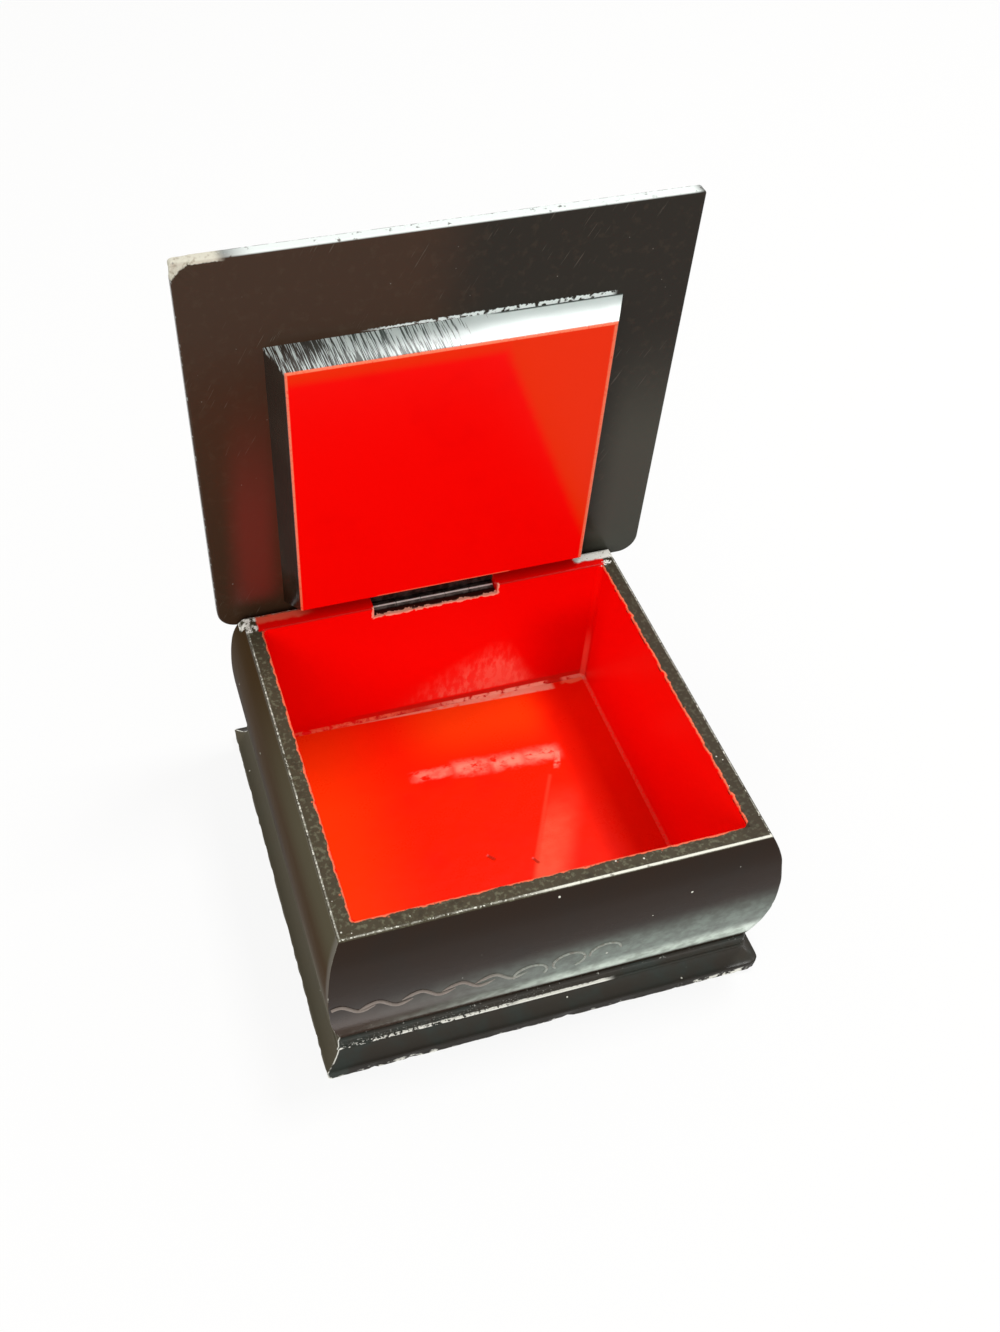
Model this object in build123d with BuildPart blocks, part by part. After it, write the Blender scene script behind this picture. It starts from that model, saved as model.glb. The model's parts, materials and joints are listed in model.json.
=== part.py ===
"""A small lacquered trinket box: bulging walls on a moulded plinth, and a hinged lid.

Sizes are millimetres. +Z is up, +Y points to the hinged back, and the origin is
the middle of the plinth's underside. The lid stands open, as the box is shown.
"""
from build123d import *
from math import cos, radians, sin, sqrt
import os

os.makedirs("parts", exist_ok=True)

# Wall tube, sized at the rim
rim_width = 90.0
rim_depth = 89.2
rim_height = 45.8
side_wall = 3.6
back_wall = 4.8
cavity_corner = 1.3
inner_arris = 0.3
outer_arris = 0.3
back_arris = 1.7

# Bulge of the walls beyond the rim, and how far below the rim it lies
shoulder_bulge = 2.6
shoulder_drop = 6.7
belly_bulge = 3.65
belly_drop = 19.8
foot_bulge = 1.25

# Plinth moulding
plinth_height = 9.8
plinth_top_out = 1.8
plinth_foot_out = 5.1
plinth_foot_edge = 2.8
plinth_bead = 0.4
plinth_arris = 0.5

# Foot of the wall tube inside the plinth, and the base board let into it
spigot_wall = 3.0
board_thickness = 7.3
board_rebate = 1.2
glue_gap = 0.05

# Lid plate; the shift is how far the lid was fitted to the right of the walls
lid_side_overhang = 6.95
lid_front_overhang = 3.5
lid_thickness = 2.4
lid_back_corner = 4.5
lid_front_corner = 0.9
lid_arris = 0.35
lid_shift = 1.5
lid_seat_gap = 0.1
lid_back_reach = 0.55
lid_back_gap = 0.35
lid_open_angle = 89.0

# Tapered block under the lid plate, sized by its gaps to the cavity when shut
block_thickness = 5.9
block_side_gap = 4.45
block_front_gap = 12.6
block_back_gap = 0.75
block_shift = 0.65
block_side_taper = 2.95
block_front_taper = 2.6
block_back_taper = 1.7
block_arris = 0.3

# Hinge
hinge_length = 30.0
axis_drop = 3.4
pin_radius = 0.7
running_fit = 0.04
leaf_thickness = 0.55
wall_leaf_width = 9.0
lid_leaf_width = 12.0
knuckle_count = 5
knuckle_gap = 0.12
mortise_gap = 0.15
barrel_gap = 0.3
leaf_gap = 0.2
kerf_gap = 0.05

# Cross pins that hold the two leaves
cross_pin_radius = 0.4
cross_pin_length = 4.4
cross_pin_spacing = 10.0
cross_pin_count = 3
cross_pin_fit = 0.02
wall_pin_drop = 6.0
lid_pin_reach = 8.6

# Places that follow from the sizes above
rim_half_width = rim_width / 2
rim_half_depth = rim_depth / 2
cavity_width = rim_width - 2 * side_wall
cavity_length = rim_depth - side_wall - back_wall
cavity_back = rim_half_depth - back_wall
cavity_middle = cavity_back - cavity_length / 2
spigot_width = cavity_width + 2 * spigot_wall
spigot_length = cavity_length + 2 * spigot_wall
board_width = cavity_width + 2 * board_rebate
board_length = cavity_length + 2 * board_rebate


def bulging_side(half_size):
    """Draw one bulging side of the walls from its foot up to the rim, and return the upper arc."""
    foot = (half_size + foot_bulge, plinth_height)
    belly = (half_size + belly_bulge, rim_height - belly_drop)
    shoulder = (half_size + shoulder_bulge, rim_height - shoulder_drop)
    belly_arc = ThreePointArc(foot, belly, shoulder)
    return TangentArc(shoulder, (half_size, rim_height), tangent=belly_arc % 1)


def bulge_at(drop):
    """Work out how far the wall stands out beyond the rim, at a given drop below it."""
    neck_arc = bulging_side(0)
    centre = neck_arc.arc_center
    return centre.X + sqrt(neck_arc.radius**2 - (rim_height - drop - centre.Y) ** 2)


def wall_outline(half_size):
    """Draw the walls' outline as seen from one side."""
    bulging_side(half_size)
    mirror(about=Plane.YZ)
    Line((-half_size, rim_height), (half_size, rim_height))
    Line((-half_size - foot_bulge, plinth_height), (half_size + foot_bulge, plinth_height))


def plinth_outline(half_size):
    """Draw the plinth's outline: a square foot, a cove, a small bead and a plain upright face."""
    foot_half = half_size + plinth_foot_out
    top_half = half_size + plinth_top_out
    cove_radius = plinth_foot_out - plinth_top_out
    cove_top = plinth_foot_edge + cove_radius
    bead_top = cove_top + 2 * plinth_bead
    bead_front = (top_half + plinth_bead, cove_top + plinth_bead)
    Line((foot_half, 0), (foot_half, plinth_foot_edge))
    RadiusArc((foot_half, plinth_foot_edge), (top_half, cove_top), cove_radius)
    ThreePointArc((top_half, cove_top), bead_front, (top_half, bead_top))
    Line((top_half, bead_top), (top_half, plinth_height))
    mirror(about=Plane.YZ)
    Line((-foot_half, 0), (foot_half, 0))
    Line((-top_half, plinth_height), (top_half, plinth_height))


# The hinge axis lies just far enough back for the open lid to clear the bulge behind it
axis_inset = axis_drop + lid_seat_gap - bulge_at(axis_drop + lid_back_reach) - lid_back_gap
axis_y = rim_half_depth - axis_inset
axis_z = rim_height - axis_drop
bore_radius = pin_radius + running_fit
barrel_radius = bore_radius + leaf_thickness
groove_radius = barrel_radius + barrel_gap
leaf_level = barrel_radius - leaf_thickness / 2
knuckle_pitch = hinge_length / knuckle_count
leaf_length = hinge_length - knuckle_gap
mortise_length = hinge_length + 2 * mortise_gap
kerf_thickness = leaf_thickness + 2 * kerf_gap
notch_floor = axis_z + barrel_radius - leaf_thickness - leaf_gap

# Planes along the hinge axis, square to it: one stays with the walls, one turns with the lid
swing = radians(lid_open_angle)
wall_section = Plane(origin=(0, axis_y, axis_z), x_dir=(0, 1, 0), z_dir=(1, 0, 0))
lid_section = Plane(origin=(0, axis_y, axis_z), x_dir=(0, cos(swing), -sin(swing)), z_dir=(1, 0, 0))

# The lid's own frame on the hinge axis: x across the box, y from front to back, z up when shut
lid_frame = Plane(origin=(0, axis_y, axis_z), x_dir=(1, 0, 0), z_dir=(0, sin(swing), cos(swing)))
lid_up = Axis(lid_frame.origin, lid_frame.z_dir)
lid_width = rim_width + 2 * lid_side_overhang
lid_front = -(axis_y + rim_half_depth + lid_front_overhang)
lid_length = lid_back_reach - lid_front
plate_underside = axis_drop + lid_seat_gap
block_face = plate_underside - block_thickness
block_width = cavity_width - 2 * block_side_gap
block_back = cavity_back - block_back_gap - axis_y
block_length = cavity_length - block_front_gap - block_back_gap

# Cross pins start flush with the inner face of the back wall, and with the block's glued face
wall_pin_plane = Plane(
    origin=(0, cavity_back, axis_z - wall_pin_drop), x_dir=(1, 0, 0), z_dir=(0, -1, 0)
)
lid_pin_plane = Plane(
    origin=lid_frame.from_local_coords((0, -lid_pin_reach, plate_underside)),
    x_dir=lid_frame.x_dir,
    z_dir=lid_frame.z_dir,
)


def round_bar(radius, length, offset=0, mode=Mode.ADD):
    """Add or cut a round bar on the hinge axis, centred at an offset along it."""
    with Locations(wall_section.offset(offset)):
        Cylinder(radius, length, mode=mode)


def knuckle_row(indices, radius, length, mode=Mode.ADD):
    """Add or cut a round bar at each of the numbered knuckles."""
    for index in indices:
        round_bar(radius, length, (index - (knuckle_count - 1) / 2) * knuckle_pitch, mode)


def cross_pin_row(plane, radius, mode=Mode.ADD):
    """Add or cut the row of cross pins, from their heads inwards."""
    with BuildSketch(plane) as pin_heads:
        with GridLocations(cross_pin_spacing, 0, cross_pin_count, 1):
            Circle(radius)
    extrude(pin_heads.sketch, amount=-cross_pin_length, mode=mode)


# Wall tube: two bulging outlines crossed at right angles give the mitred corners
with BuildPart() as body_walls:
    with BuildSketch(Plane.XZ) as front_outline:
        with BuildLine():
            wall_outline(rim_half_width)
        make_face()
        fillet(front_outline.vertices().group_by(Axis.Y)[-1], outer_arris)
    extrude(amount=rim_depth, both=True)
    with BuildSketch(Plane.YZ) as side_outline:
        with BuildLine():
            wall_outline(rim_half_depth)
        make_face()
        fillet(side_outline.vertices().group_by(Axis.Y)[-1].sort_by(Axis.X)[0], outer_arris)
        fillet(side_outline.vertices().group_by(Axis.Y)[-1].sort_by(Axis.X)[-1], back_arris)
    extrude(amount=rim_width, both=True, mode=Mode.INTERSECT)
    # Foot of the tube, which goes down inside the plinth
    with BuildSketch(Plane.XY):
        with Locations((0, cavity_middle)):
            Rectangle(spigot_width, spigot_length)
    extrude(amount=plinth_height)
    # Cavity, and the rebate for the base board below it
    with BuildSketch(Plane.XY.offset(board_thickness)):
        with Locations((0, cavity_middle)):
            RectangleRounded(cavity_width, cavity_length, cavity_corner)
    extrude(amount=rim_height, mode=Mode.SUBTRACT)
    fillet(body_walls.faces().sort_by(Axis.Z)[-1].inner_wires()[0].edges(), inner_arris)
    with BuildSketch(Plane.XY):
        with Locations((0, cavity_middle)):
            Rectangle(board_width, board_length)
    extrude(amount=board_thickness, mode=Mode.SUBTRACT)
    # Hinge mortise: an open notch, a round groove for the barrel and a kerf for the leaf
    with BuildSketch(Plane.YZ):
        with Locations((axis_y, notch_floor)):
            Rectangle(3 * back_wall, 3 * axis_drop, align=(Align.CENTER, Align.MIN))
    extrude(amount=mortise_length / 2, both=True, mode=Mode.SUBTRACT)
    with BuildSketch(wall_section):
        Circle(groove_radius)
        Rectangle(2 * groove_radius, 2 * axis_drop, align=(Align.CENTER, Align.MIN))
        with Locations((-leaf_level, 0)):
            Rectangle(kerf_thickness, wall_leaf_width + kerf_gap, align=(Align.CENTER, Align.MAX))
    extrude(amount=mortise_length / 2, both=True, mode=Mode.SUBTRACT)
    cross_pin_row(wall_pin_plane, cross_pin_radius + cross_pin_fit, Mode.SUBTRACT)

# Base board, glued up into the rebate; its top is the floor of the box
with BuildPart() as base_board:
    with BuildSketch():
        with Locations((0, cavity_middle)):
            Rectangle(board_width - 2 * glue_gap, board_length - 2 * glue_gap)
    extrude(amount=board_thickness)

# Plinth: a moulded frame round the foot of the tube
with BuildPart() as plinth:
    with BuildSketch(Plane.XZ) as plinth_front:
        with BuildLine():
            plinth_outline(rim_half_width)
        make_face()
        fillet(plinth_front.vertices().group_by(Axis.Y)[-1], plinth_arris)
    extrude(amount=rim_depth, both=True)
    with BuildSketch(Plane.YZ) as plinth_side:
        with BuildLine():
            plinth_outline(rim_half_depth)
        make_face()
        fillet(plinth_side.vertices().group_by(Axis.Y)[-1], plinth_arris)
    extrude(amount=rim_width, both=True, mode=Mode.INTERSECT)
    with BuildSketch():
        with Locations((0, cavity_middle)):
            Rectangle(spigot_width + 2 * glue_gap, spigot_length + 2 * glue_gap)
    extrude(amount=plinth_height, mode=Mode.SUBTRACT)

# Lid plate
with BuildPart() as lid_plate:
    with BuildSketch(lid_frame.offset(plate_underside)) as plate_outline:
        with Locations((lid_shift, lid_back_reach)):
            Rectangle(lid_width, lid_length, align=(Align.CENTER, Align.MAX))
        plate_corners = plate_outline.vertices().group_by(Axis.Y)
        fillet(plate_corners[-1], lid_back_corner)
        fillet(plate_corners[0], lid_front_corner)
    extrude(amount=lid_thickness)
    fillet(lid_plate.edges().filter_by(lid_frame), lid_arris)

# Tapered block, glued under the plate, with a kerf in its back side for the hinge leaf
with BuildPart() as lid_block:
    with BuildSketch(lid_frame.offset(plate_underside)):
        with Locations((lid_shift + block_shift, block_back)):
            Rectangle(block_width, block_length, align=(Align.CENTER, Align.MAX))
    with BuildSketch(lid_frame.offset(block_face)):
        with Locations((lid_shift + block_shift, block_back - block_back_taper)):
            Rectangle(
                block_width - 2 * block_side_taper,
                block_length - block_front_taper - block_back_taper,
                align=(Align.CENTER, Align.MAX),
            )
    loft(ruled=True)
    face_edges = lid_block.edges().group_by(lid_up)[0]
    corner_edges = lid_block.edges().filter_by(lid_frame, reverse=True)
    fillet(face_edges + corner_edges, block_arris)
    with BuildSketch(lid_section):
        with Locations((0, leaf_level)):
            Rectangle(lid_leaf_width + kerf_gap, kerf_thickness, align=(Align.MAX, Align.CENTER))
    extrude(amount=mortise_length / 2, both=True, mode=Mode.SUBTRACT)
    cross_pin_row(lid_pin_plane, cross_pin_radius + cross_pin_fit, Mode.SUBTRACT)

wall_knuckles = range(0, knuckle_count, 2)
lid_knuckles = range(1, knuckle_count, 2)

# Hinge leaf in the back wall, hanging from the front of the barrel
with BuildPart() as hinge_wall_leaf:
    with BuildSketch(wall_section):
        with Locations((-leaf_level, 0)):
            Rectangle(leaf_thickness, wall_leaf_width, align=(Align.CENTER, Align.MAX))
    extrude(amount=leaf_length / 2, both=True)
    knuckle_row(lid_knuckles, barrel_radius + leaf_gap, knuckle_pitch + knuckle_gap, Mode.SUBTRACT)
    knuckle_row(wall_knuckles, barrel_radius, knuckle_pitch - knuckle_gap)
    round_bar(bore_radius, hinge_length, mode=Mode.SUBTRACT)
    cross_pin_row(wall_pin_plane, cross_pin_radius + cross_pin_fit, Mode.SUBTRACT)

# Hinge leaf in the lid's block, level with the top of the barrel when the lid is shut
with BuildPart() as hinge_lid_leaf:
    with BuildSketch(lid_section):
        with Locations((0, leaf_level)):
            Rectangle(lid_leaf_width, leaf_thickness, align=(Align.MAX, Align.CENTER))
    extrude(amount=leaf_length / 2, both=True)
    knuckle_row(wall_knuckles, barrel_radius + leaf_gap, knuckle_pitch + knuckle_gap, Mode.SUBTRACT)
    knuckle_row(lid_knuckles, barrel_radius, knuckle_pitch - knuckle_gap)
    round_bar(bore_radius, hinge_length, mode=Mode.SUBTRACT)
    cross_pin_row(lid_pin_plane, cross_pin_radius + cross_pin_fit, Mode.SUBTRACT)

# Hinge pin
with BuildPart() as hinge_pin:
    round_bar(pin_radius, leaf_length)

# Cross pins through the two leaves
with BuildPart() as wall_cross_pins:
    cross_pin_row(wall_pin_plane, cross_pin_radius)

with BuildPart() as lid_cross_pins:
    cross_pin_row(lid_pin_plane, cross_pin_radius)

pieces = {
    "body_walls": body_walls,
    "base_board": base_board,
    "plinth": plinth,
    "lid_plate": lid_plate,
    "lid_block": lid_block,
    "hinge_wall_leaf": hinge_wall_leaf,
    "hinge_lid_leaf": hinge_lid_leaf,
    "hinge_pin": hinge_pin,
    "wall_cross_pins": wall_cross_pins,
    "lid_cross_pins": lid_cross_pins,
}
for name, piece in pieces.items():
    piece.part.label = name
    export_step(piece.part, f"parts/{name}.step")
    print(name, "volume", round(piece.part.volume, 1))
print("hinge axis at y", round(axis_y, 3), "z", round(axis_z, 3))
print("lid plate", round(lid_width, 2), "by", round(lid_length, 2))
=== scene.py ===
# %% [markdown]
# # A lacquered trinket box with its lid standing open
#
# The real box is papier-mache: a tube of pasted card with bulging sides, glued to a
# moulded plinth, and a flat lid with a red block under it. Everything was covered in
# ground, painted black outside and red inside, and varnished. Years of handling have
# worn the arrises and chipped the corners. This lesson builds the visible skins of
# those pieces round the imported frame, one piece at a time.

import json
from functools import partialmethod
from math import cos, pi, radians, sin, sqrt

import bmesh
import bpy
from mathutils import Matrix, Vector, noise


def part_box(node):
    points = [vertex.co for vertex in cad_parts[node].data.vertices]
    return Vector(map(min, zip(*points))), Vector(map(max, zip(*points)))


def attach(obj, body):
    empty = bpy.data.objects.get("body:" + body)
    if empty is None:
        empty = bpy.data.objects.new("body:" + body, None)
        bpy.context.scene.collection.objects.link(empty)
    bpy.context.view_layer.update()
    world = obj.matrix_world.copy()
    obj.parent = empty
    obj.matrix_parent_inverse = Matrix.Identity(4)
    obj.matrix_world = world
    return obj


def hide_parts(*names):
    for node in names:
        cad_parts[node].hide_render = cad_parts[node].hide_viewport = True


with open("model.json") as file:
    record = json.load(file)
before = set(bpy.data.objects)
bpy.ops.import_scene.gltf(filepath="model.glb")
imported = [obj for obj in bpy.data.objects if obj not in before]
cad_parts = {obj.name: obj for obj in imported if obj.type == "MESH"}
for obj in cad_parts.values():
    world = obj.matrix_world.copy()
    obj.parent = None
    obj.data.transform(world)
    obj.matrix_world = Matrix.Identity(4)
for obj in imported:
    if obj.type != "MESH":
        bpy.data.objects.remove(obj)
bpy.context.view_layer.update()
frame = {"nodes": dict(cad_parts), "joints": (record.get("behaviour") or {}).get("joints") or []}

# %% [markdown]
# ## Sizes
# The makers' sizes are in millimetres, and meshes are stored in metres. Overall heights
# and the hinge come from the frame, so that the skins stay with the pieces that they
# stand for. Widths, curves and small details have values of their own.

# %% Read the sizes of the carried pieces
MM = 0.001


def node_box(node):
    """Lowest and highest corner of a carried piece, in millimetres."""
    low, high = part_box(node)
    return Vector(low) / MM, Vector(high) / MM


plinth_high = node_box("plinth")[1]
rim_height = node_box("body_walls")[1].z
floor_height = node_box("base_board")[1].z
plinth_height = plinth_high.z
hinge = frame["joints"][0]
axis_y = hinge["pos_m"][1] / MM
axis_z = hinge["pos_m"][2] / MM
print("rim", round(rim_height, 2), "floor", round(floor_height, 2))
print("axis", round(axis_y, 3), round(axis_z, 3))

# %% Sizes that only the makers know
rim_half_width = 45.0
rim_half_depth = 44.6
side_wall = 3.6
back_wall = 4.8
board_rebate = 1.2
spigot_wall = 3.0
foot_bulge = 1.25
belly_bulge = 3.65
belly_drop = 19.8
shoulder_bulge = 2.6
shoulder_drop = 6.7
back_arris = 1.7
cavity_corner = 1.3
plinth_top_out = 1.8
plinth_foot_out = plinth_high.x - rim_half_width
plinth_foot_edge = 2.8
plinth_bead = 0.4
slot_half = 15.15
slot_floor = axis_z + 0.54
groove_radius = 1.59
cavity_half_width = rim_half_width - side_wall
cavity_half_depth = rim_half_depth - (side_wall + back_wall) / 2
cavity_middle = (side_wall - back_wall) / 2
cavity_back = rim_half_depth - back_wall
print("cavity half width", cavity_half_width, "slot floor", round(slot_floor, 2))

# %% [markdown]
# ## Helpers for meshes
# Most pieces of this box are rectangles stacked on each other: each height has its own
# width and depth, and the corners stay mitred. Writing the rectangles down and lofting
# through them gives clean rows of faces that follow the arrises, which is where the
# lacquer wears, so small wear can be modelled and not only painted.

# %% Curves for profiles


def spread(first, last, count):
    """Numbers from first to last in equal steps."""
    return [first + (last - first) * step / (count - 1) for step in range(count)]


def arc_points(centre, radius, start, end, count):
    """Points on an arc, with its angles in degrees."""
    turns = [radians(turn) for turn in spread(start, end, count)]
    return [(centre[0] + radius * cos(a), centre[1] + radius * sin(a)) for a in turns]


def circle_through(a, b, c):
    """Centre of the circle through three points."""
    (ax, ay), (bx, by), (cx, cy) = a, b, c
    d = 2 * (ax * (by - cy) + bx * (cy - ay) + cx * (ay - by))
    aa, bb, cc = ax * ax + ay * ay, bx * bx + by * by, cx * cx + cy * cy
    x = (aa * (by - cy) + bb * (cy - ay) + cc * (ay - by)) / d
    y = (aa * (cx - bx) + bb * (ax - cx) + cc * (bx - ax)) / d
    return x, y


foot = (foot_bulge, plinth_height)
belly = (belly_bulge, rim_height - belly_drop)
shoulder = (shoulder_bulge, rim_height - shoulder_drop)
belly_centre = circle_through(foot, belly, shoulder)
to_belly = (belly_centre[0] - shoulder[0], belly_centre[1] - shoulder[1])
belly_radius = sqrt(to_belly[0] ** 2 + to_belly[1] ** 2)
inward = (to_belly[0] / belly_radius, to_belly[1] / belly_radius)
to_rim = (shoulder[0], shoulder[1] - rim_height)
toward_rim = inward[0] * to_rim[0] + inward[1] * to_rim[1]
neck_radius = -(to_rim[0] ** 2 + to_rim[1] ** 2) / (2 * toward_rim)
neck_centre = (shoulder[0] + inward[0] * neck_radius, shoulder[1] + inward[1] * neck_radius)


def bulge_at(height):
    """How far the walls stand out beyond the rim at a height."""
    below = height < shoulder[1]
    centre, radius = (belly_centre, belly_radius) if below else (neck_centre, neck_radius)
    return centre[0] + sqrt(radius**2 - (height - centre[1]) ** 2)


print("belly radius", round(belly_radius, 1), "neck radius", round(neck_radius, 1))
print("bulge at the rim", round(bulge_at(rim_height), 3))

# %% Rectangles round the rim and the cavity


def rim_ring(out, height):
    """A rectangle that stands out from the rim's outline."""
    return rim_half_width + out, rim_half_depth + out, 0.0, height


def cavity_ring(out, height):
    """A rectangle that stands out from the cavity's outline."""
    return cavity_half_width + out, cavity_half_depth + out, cavity_middle, height


def between(start, end, share):
    """A rectangle part of the way from one to another."""
    return tuple(a + (b - a) * share for a, b in zip(start, end))


def side_of(value):
    """1 on the positive side of a middle and -1 on the other."""
    return 1 if value > 0 else -1


# %% [markdown]
# ## A Geometry Nodes tree that lofts rectangles
# The tree makes a grid, wraps it round a unit square and gives each row the size of one
# rectangle. Rows crowd towards the mitres, where the wear is. The same tree serves the
# walls, the plinth, the lid's plate and its block.

# %% Small helpers to write node trees


def add_node(tree, kind, inputs=(), **settings):
    """Add a node, set its properties and link or fill its inputs."""
    node = tree.nodes.new(kind)
    for name, value in settings.items():
        setattr(node, name, value)
    for key, value in dict(inputs).items():
        value = value.socket if isinstance(value, Field) else value
        if isinstance(value, bpy.types.NodeSocket):
            tree.links.new(value, node.inputs[key])
        else:
            node.inputs[key].default_value = value
    return node


class Field:
    """A number that varies over a surface and can be added and compared like a plain one."""

    def __init__(self, tree, socket):
        self.tree = tree
        self.socket = socket

    def calc(self, operation, *others):
        """The result of a sum with other fields or plain numbers."""
        values = dict(enumerate((self, *others)))
        node = add_node(self.tree, "ShaderNodeMath", values, operation=operation)
        return Field(self.tree, node.outputs[0])

    __add__ = __radd__ = partialmethod(calc, "ADD")
    __sub__ = partialmethod(calc, "SUBTRACT")
    __mul__ = __rmul__ = partialmethod(calc, "MULTIPLY")
    __truediv__ = partialmethod(calc, "DIVIDE")
    __abs__ = partialmethod(calc, "ABSOLUTE")
    low = partialmethod(calc, "MINIMUM")
    high = partialmethod(calc, "MAXIMUM")

    def __rsub__(self, other):
        return self * -1 + other

    def rise(self, low, high):
        """Zero below the low value, one above the high one, and smooth between them."""
        node = add_node(
            self.tree,
            "ShaderNodeMapRange",
            {"Value": self, "From Min": low, "From Max": high},
            interpolation_type="SMOOTHSTEP",
        )
        return Field(self.tree, node.outputs[0])

    def fall(self, low, high):
        """One below the low value and zero above the high one."""
        return 1 - self.rise(low, high)


def start_tree(name, inputs, output):
    """Start a Geometry Nodes tree, and give it with the sockets of its named inputs."""
    tree = bpy.data.node_groups.new(name, "GeometryNodeTree")
    for label, kind in inputs.items():
        tree.interface.new_socket(label, in_out="INPUT", socket_type="NodeSocket" + kind)
    tree.interface.new_socket(output, in_out="OUTPUT", socket_type="NodeSocketGeometry")
    return tree, tree.nodes.new("NodeGroupInput").outputs


def end_tree(tree, shape, finish):
    """Make a tree's instances real, give them their finish and hand them out."""
    real = add_node(tree, "GeometryNodeRealizeInstances", {"Geometry": shape})
    last = {"Geometry": real.outputs[0], "Material": finish}
    coated = add_node(tree, "GeometryNodeSetMaterial", last)
    add_node(tree, "NodeGroupOutput", {0: coated.outputs[0]})
    print("tree", tree.name, "nodes", len(tree.nodes))
    return tree


def stored(tree, name):
    """A number that is stored on the points under a name."""
    node = add_node(tree, "GeometryNodeInputNamedAttribute", {"Name": name}, data_type="FLOAT")
    return node.outputs[0]


def socket_key(tree, name):
    """Identifier of a tree's named input."""
    return next(
        item.identifier
        for item in tree.interface.items_tree
        if item.item_type == "SOCKET" and item.in_out == "INPUT" and item.name == name
    )


# %% Build the tree


def rectangle_stack_tree():
    """Loft the rectangles that are stored as points: half width, half depth and height."""
    inputs = {
        "Rectangles": "Geometry",
        "Steps per side": "Int",
        "Crowding at mitres": "Float",
        "Finish": "Material",
    }
    tree, given = start_tree("rectangle_stack", inputs, "Skin")
    rectangles = given["Rectangles"]
    steps = Field(tree, given["Steps per side"])
    crowding = Field(tree, given["Crowding at mitres"])
    domain = add_node(tree, "GeometryNodeAttributeDomainSize", {"Geometry": rectangles})
    rows = Field(tree, domain.outputs["Point Count"])
    counts = {"Vertices X": steps * 4 + 1, "Vertices Y": rows}
    grid = add_node(tree, "GeometryNodeMeshGrid", counts)
    index = Field(tree, tree.nodes.new("GeometryNodeInputIndex").outputs[0])
    column = (index / rows + 0.00001).calc("FLOOR")
    row = index - column * rows
    around = column / steps
    side = around.calc("FLOOR")
    along = around - side
    along = along - crowding * (along * (2 * pi)).calc("SINE") / (2 * pi)
    sides = {"Width": 2.0, "Height": 2.0}
    square = add_node(tree, "GeometryNodeCurvePrimitiveQuadrilateral", sides)
    spot = {"Curves": square.outputs[0], "Factor": (side + along) / 4}
    corner = add_node(
        tree, "GeometryNodeSampleCurve", spot, mode="FACTOR", use_all_curves=False
    )

    def of_row(kind, value):
        """A value of the rectangle that a point of the grid belongs to."""
        found = {"Geometry": rectangles, "Index": row}
        node = add_node(tree, "GeometryNodeSampleIndex", found, data_type=kind)
        tree.links.new(value, node.inputs["Value"])
        return node.outputs[0]

    size = of_row("FLOAT_VECTOR", tree.nodes.new("GeometryNodeInputPosition").outputs[0])
    shift = of_row("FLOAT", stored(tree, "middle"))
    unit = add_node(tree, "ShaderNodeSeparateXYZ", {"Vector": corner.outputs["Position"]})
    half = add_node(tree, "ShaderNodeSeparateXYZ", {"Vector": size})
    x = Field(tree, unit.outputs["X"]) * Field(tree, half.outputs["X"])
    y = Field(tree, unit.outputs["Y"]) * Field(tree, half.outputs["Y"]) + Field(tree, shift)
    point = add_node(tree, "ShaderNodeCombineXYZ", {"X": x, "Y": y, "Z": half.outputs["Z"]})
    place = {"Geometry": grid.outputs["Mesh"], "Position": point.outputs[0]}
    placed = add_node(tree, "GeometryNodeSetPosition", place)
    weld = {"Geometry": placed.outputs[0], "Distance": 0.000001}
    merged = add_node(tree, "GeometryNodeMergeByDistance", weld)
    return end_tree(tree, merged.outputs[0], given["Finish"])


stack_tree = rectangle_stack_tree()

# %% Turn a list of rectangles into a piece


def plain_mesh(obj):
    """Apply an object's modifiers for good and leave it a plain mesh."""
    shown = obj.evaluated_get(bpy.context.evaluated_depsgraph_get())
    mesh = bpy.data.meshes.new_from_object(shown)
    obj.modifiers.clear()
    obj.data = mesh
    mesh.name = obj.name
    return mesh


def coat_faces(mesh, finishes, choose=lambda x, y, z: 0):
    """Give a mesh its finishes, and each face the one that its middle, in mm, chooses."""
    mesh.materials.clear()
    for finish in finishes:
        mesh.materials.append(finish)
    for face in mesh.polygons:
        face.material_index = choose(*(face.center / MM))


def new_piece(name, mesh):
    """Put a mesh into the scene as a piece that sits at the origin."""
    piece = bpy.data.objects.new(name, mesh)
    bpy.context.scene.collection.objects.link(piece)
    return piece


def run_tree(piece, tree, finish, values):
    """Run a tree on a piece with its named inputs, and keep the result as a plain mesh."""
    modifier = piece.modifiers.new(tree.name, "NODES")
    modifier.node_group = tree
    for name, value in {**values, "Finish": finish}.items():
        modifier[socket_key(tree, name)] = value
    coat_faces(plain_mesh(piece), [finish])


def stack_rectangles(name, rectangles, finish, steps, crowding=0.85):
    """Loft (half width, half depth, middle y, height) rectangles, in mm, into a skin."""
    mesh = bpy.data.meshes.new(name + "_rectangles")
    mesh.from_pydata([(w * MM, d * MM, z * MM) for w, d, m, z in rectangles], [], [])
    middle = mesh.attributes.new("middle", "FLOAT", "POINT")
    middle.data.foreach_set("value", [m * MM for w, d, m, z in rectangles])
    piece = new_piece(name, mesh)
    values = {"Steps per side": steps, "Crowding at mitres": crowding}
    run_tree(piece, stack_tree, finish, values)
    return piece


def reshape(piece, change):
    """Move each point of a piece by a rule that works in millimetres."""
    for vertex in piece.data.vertices:
        vertex.co = Vector(change(vertex.co / MM)) * MM


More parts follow.
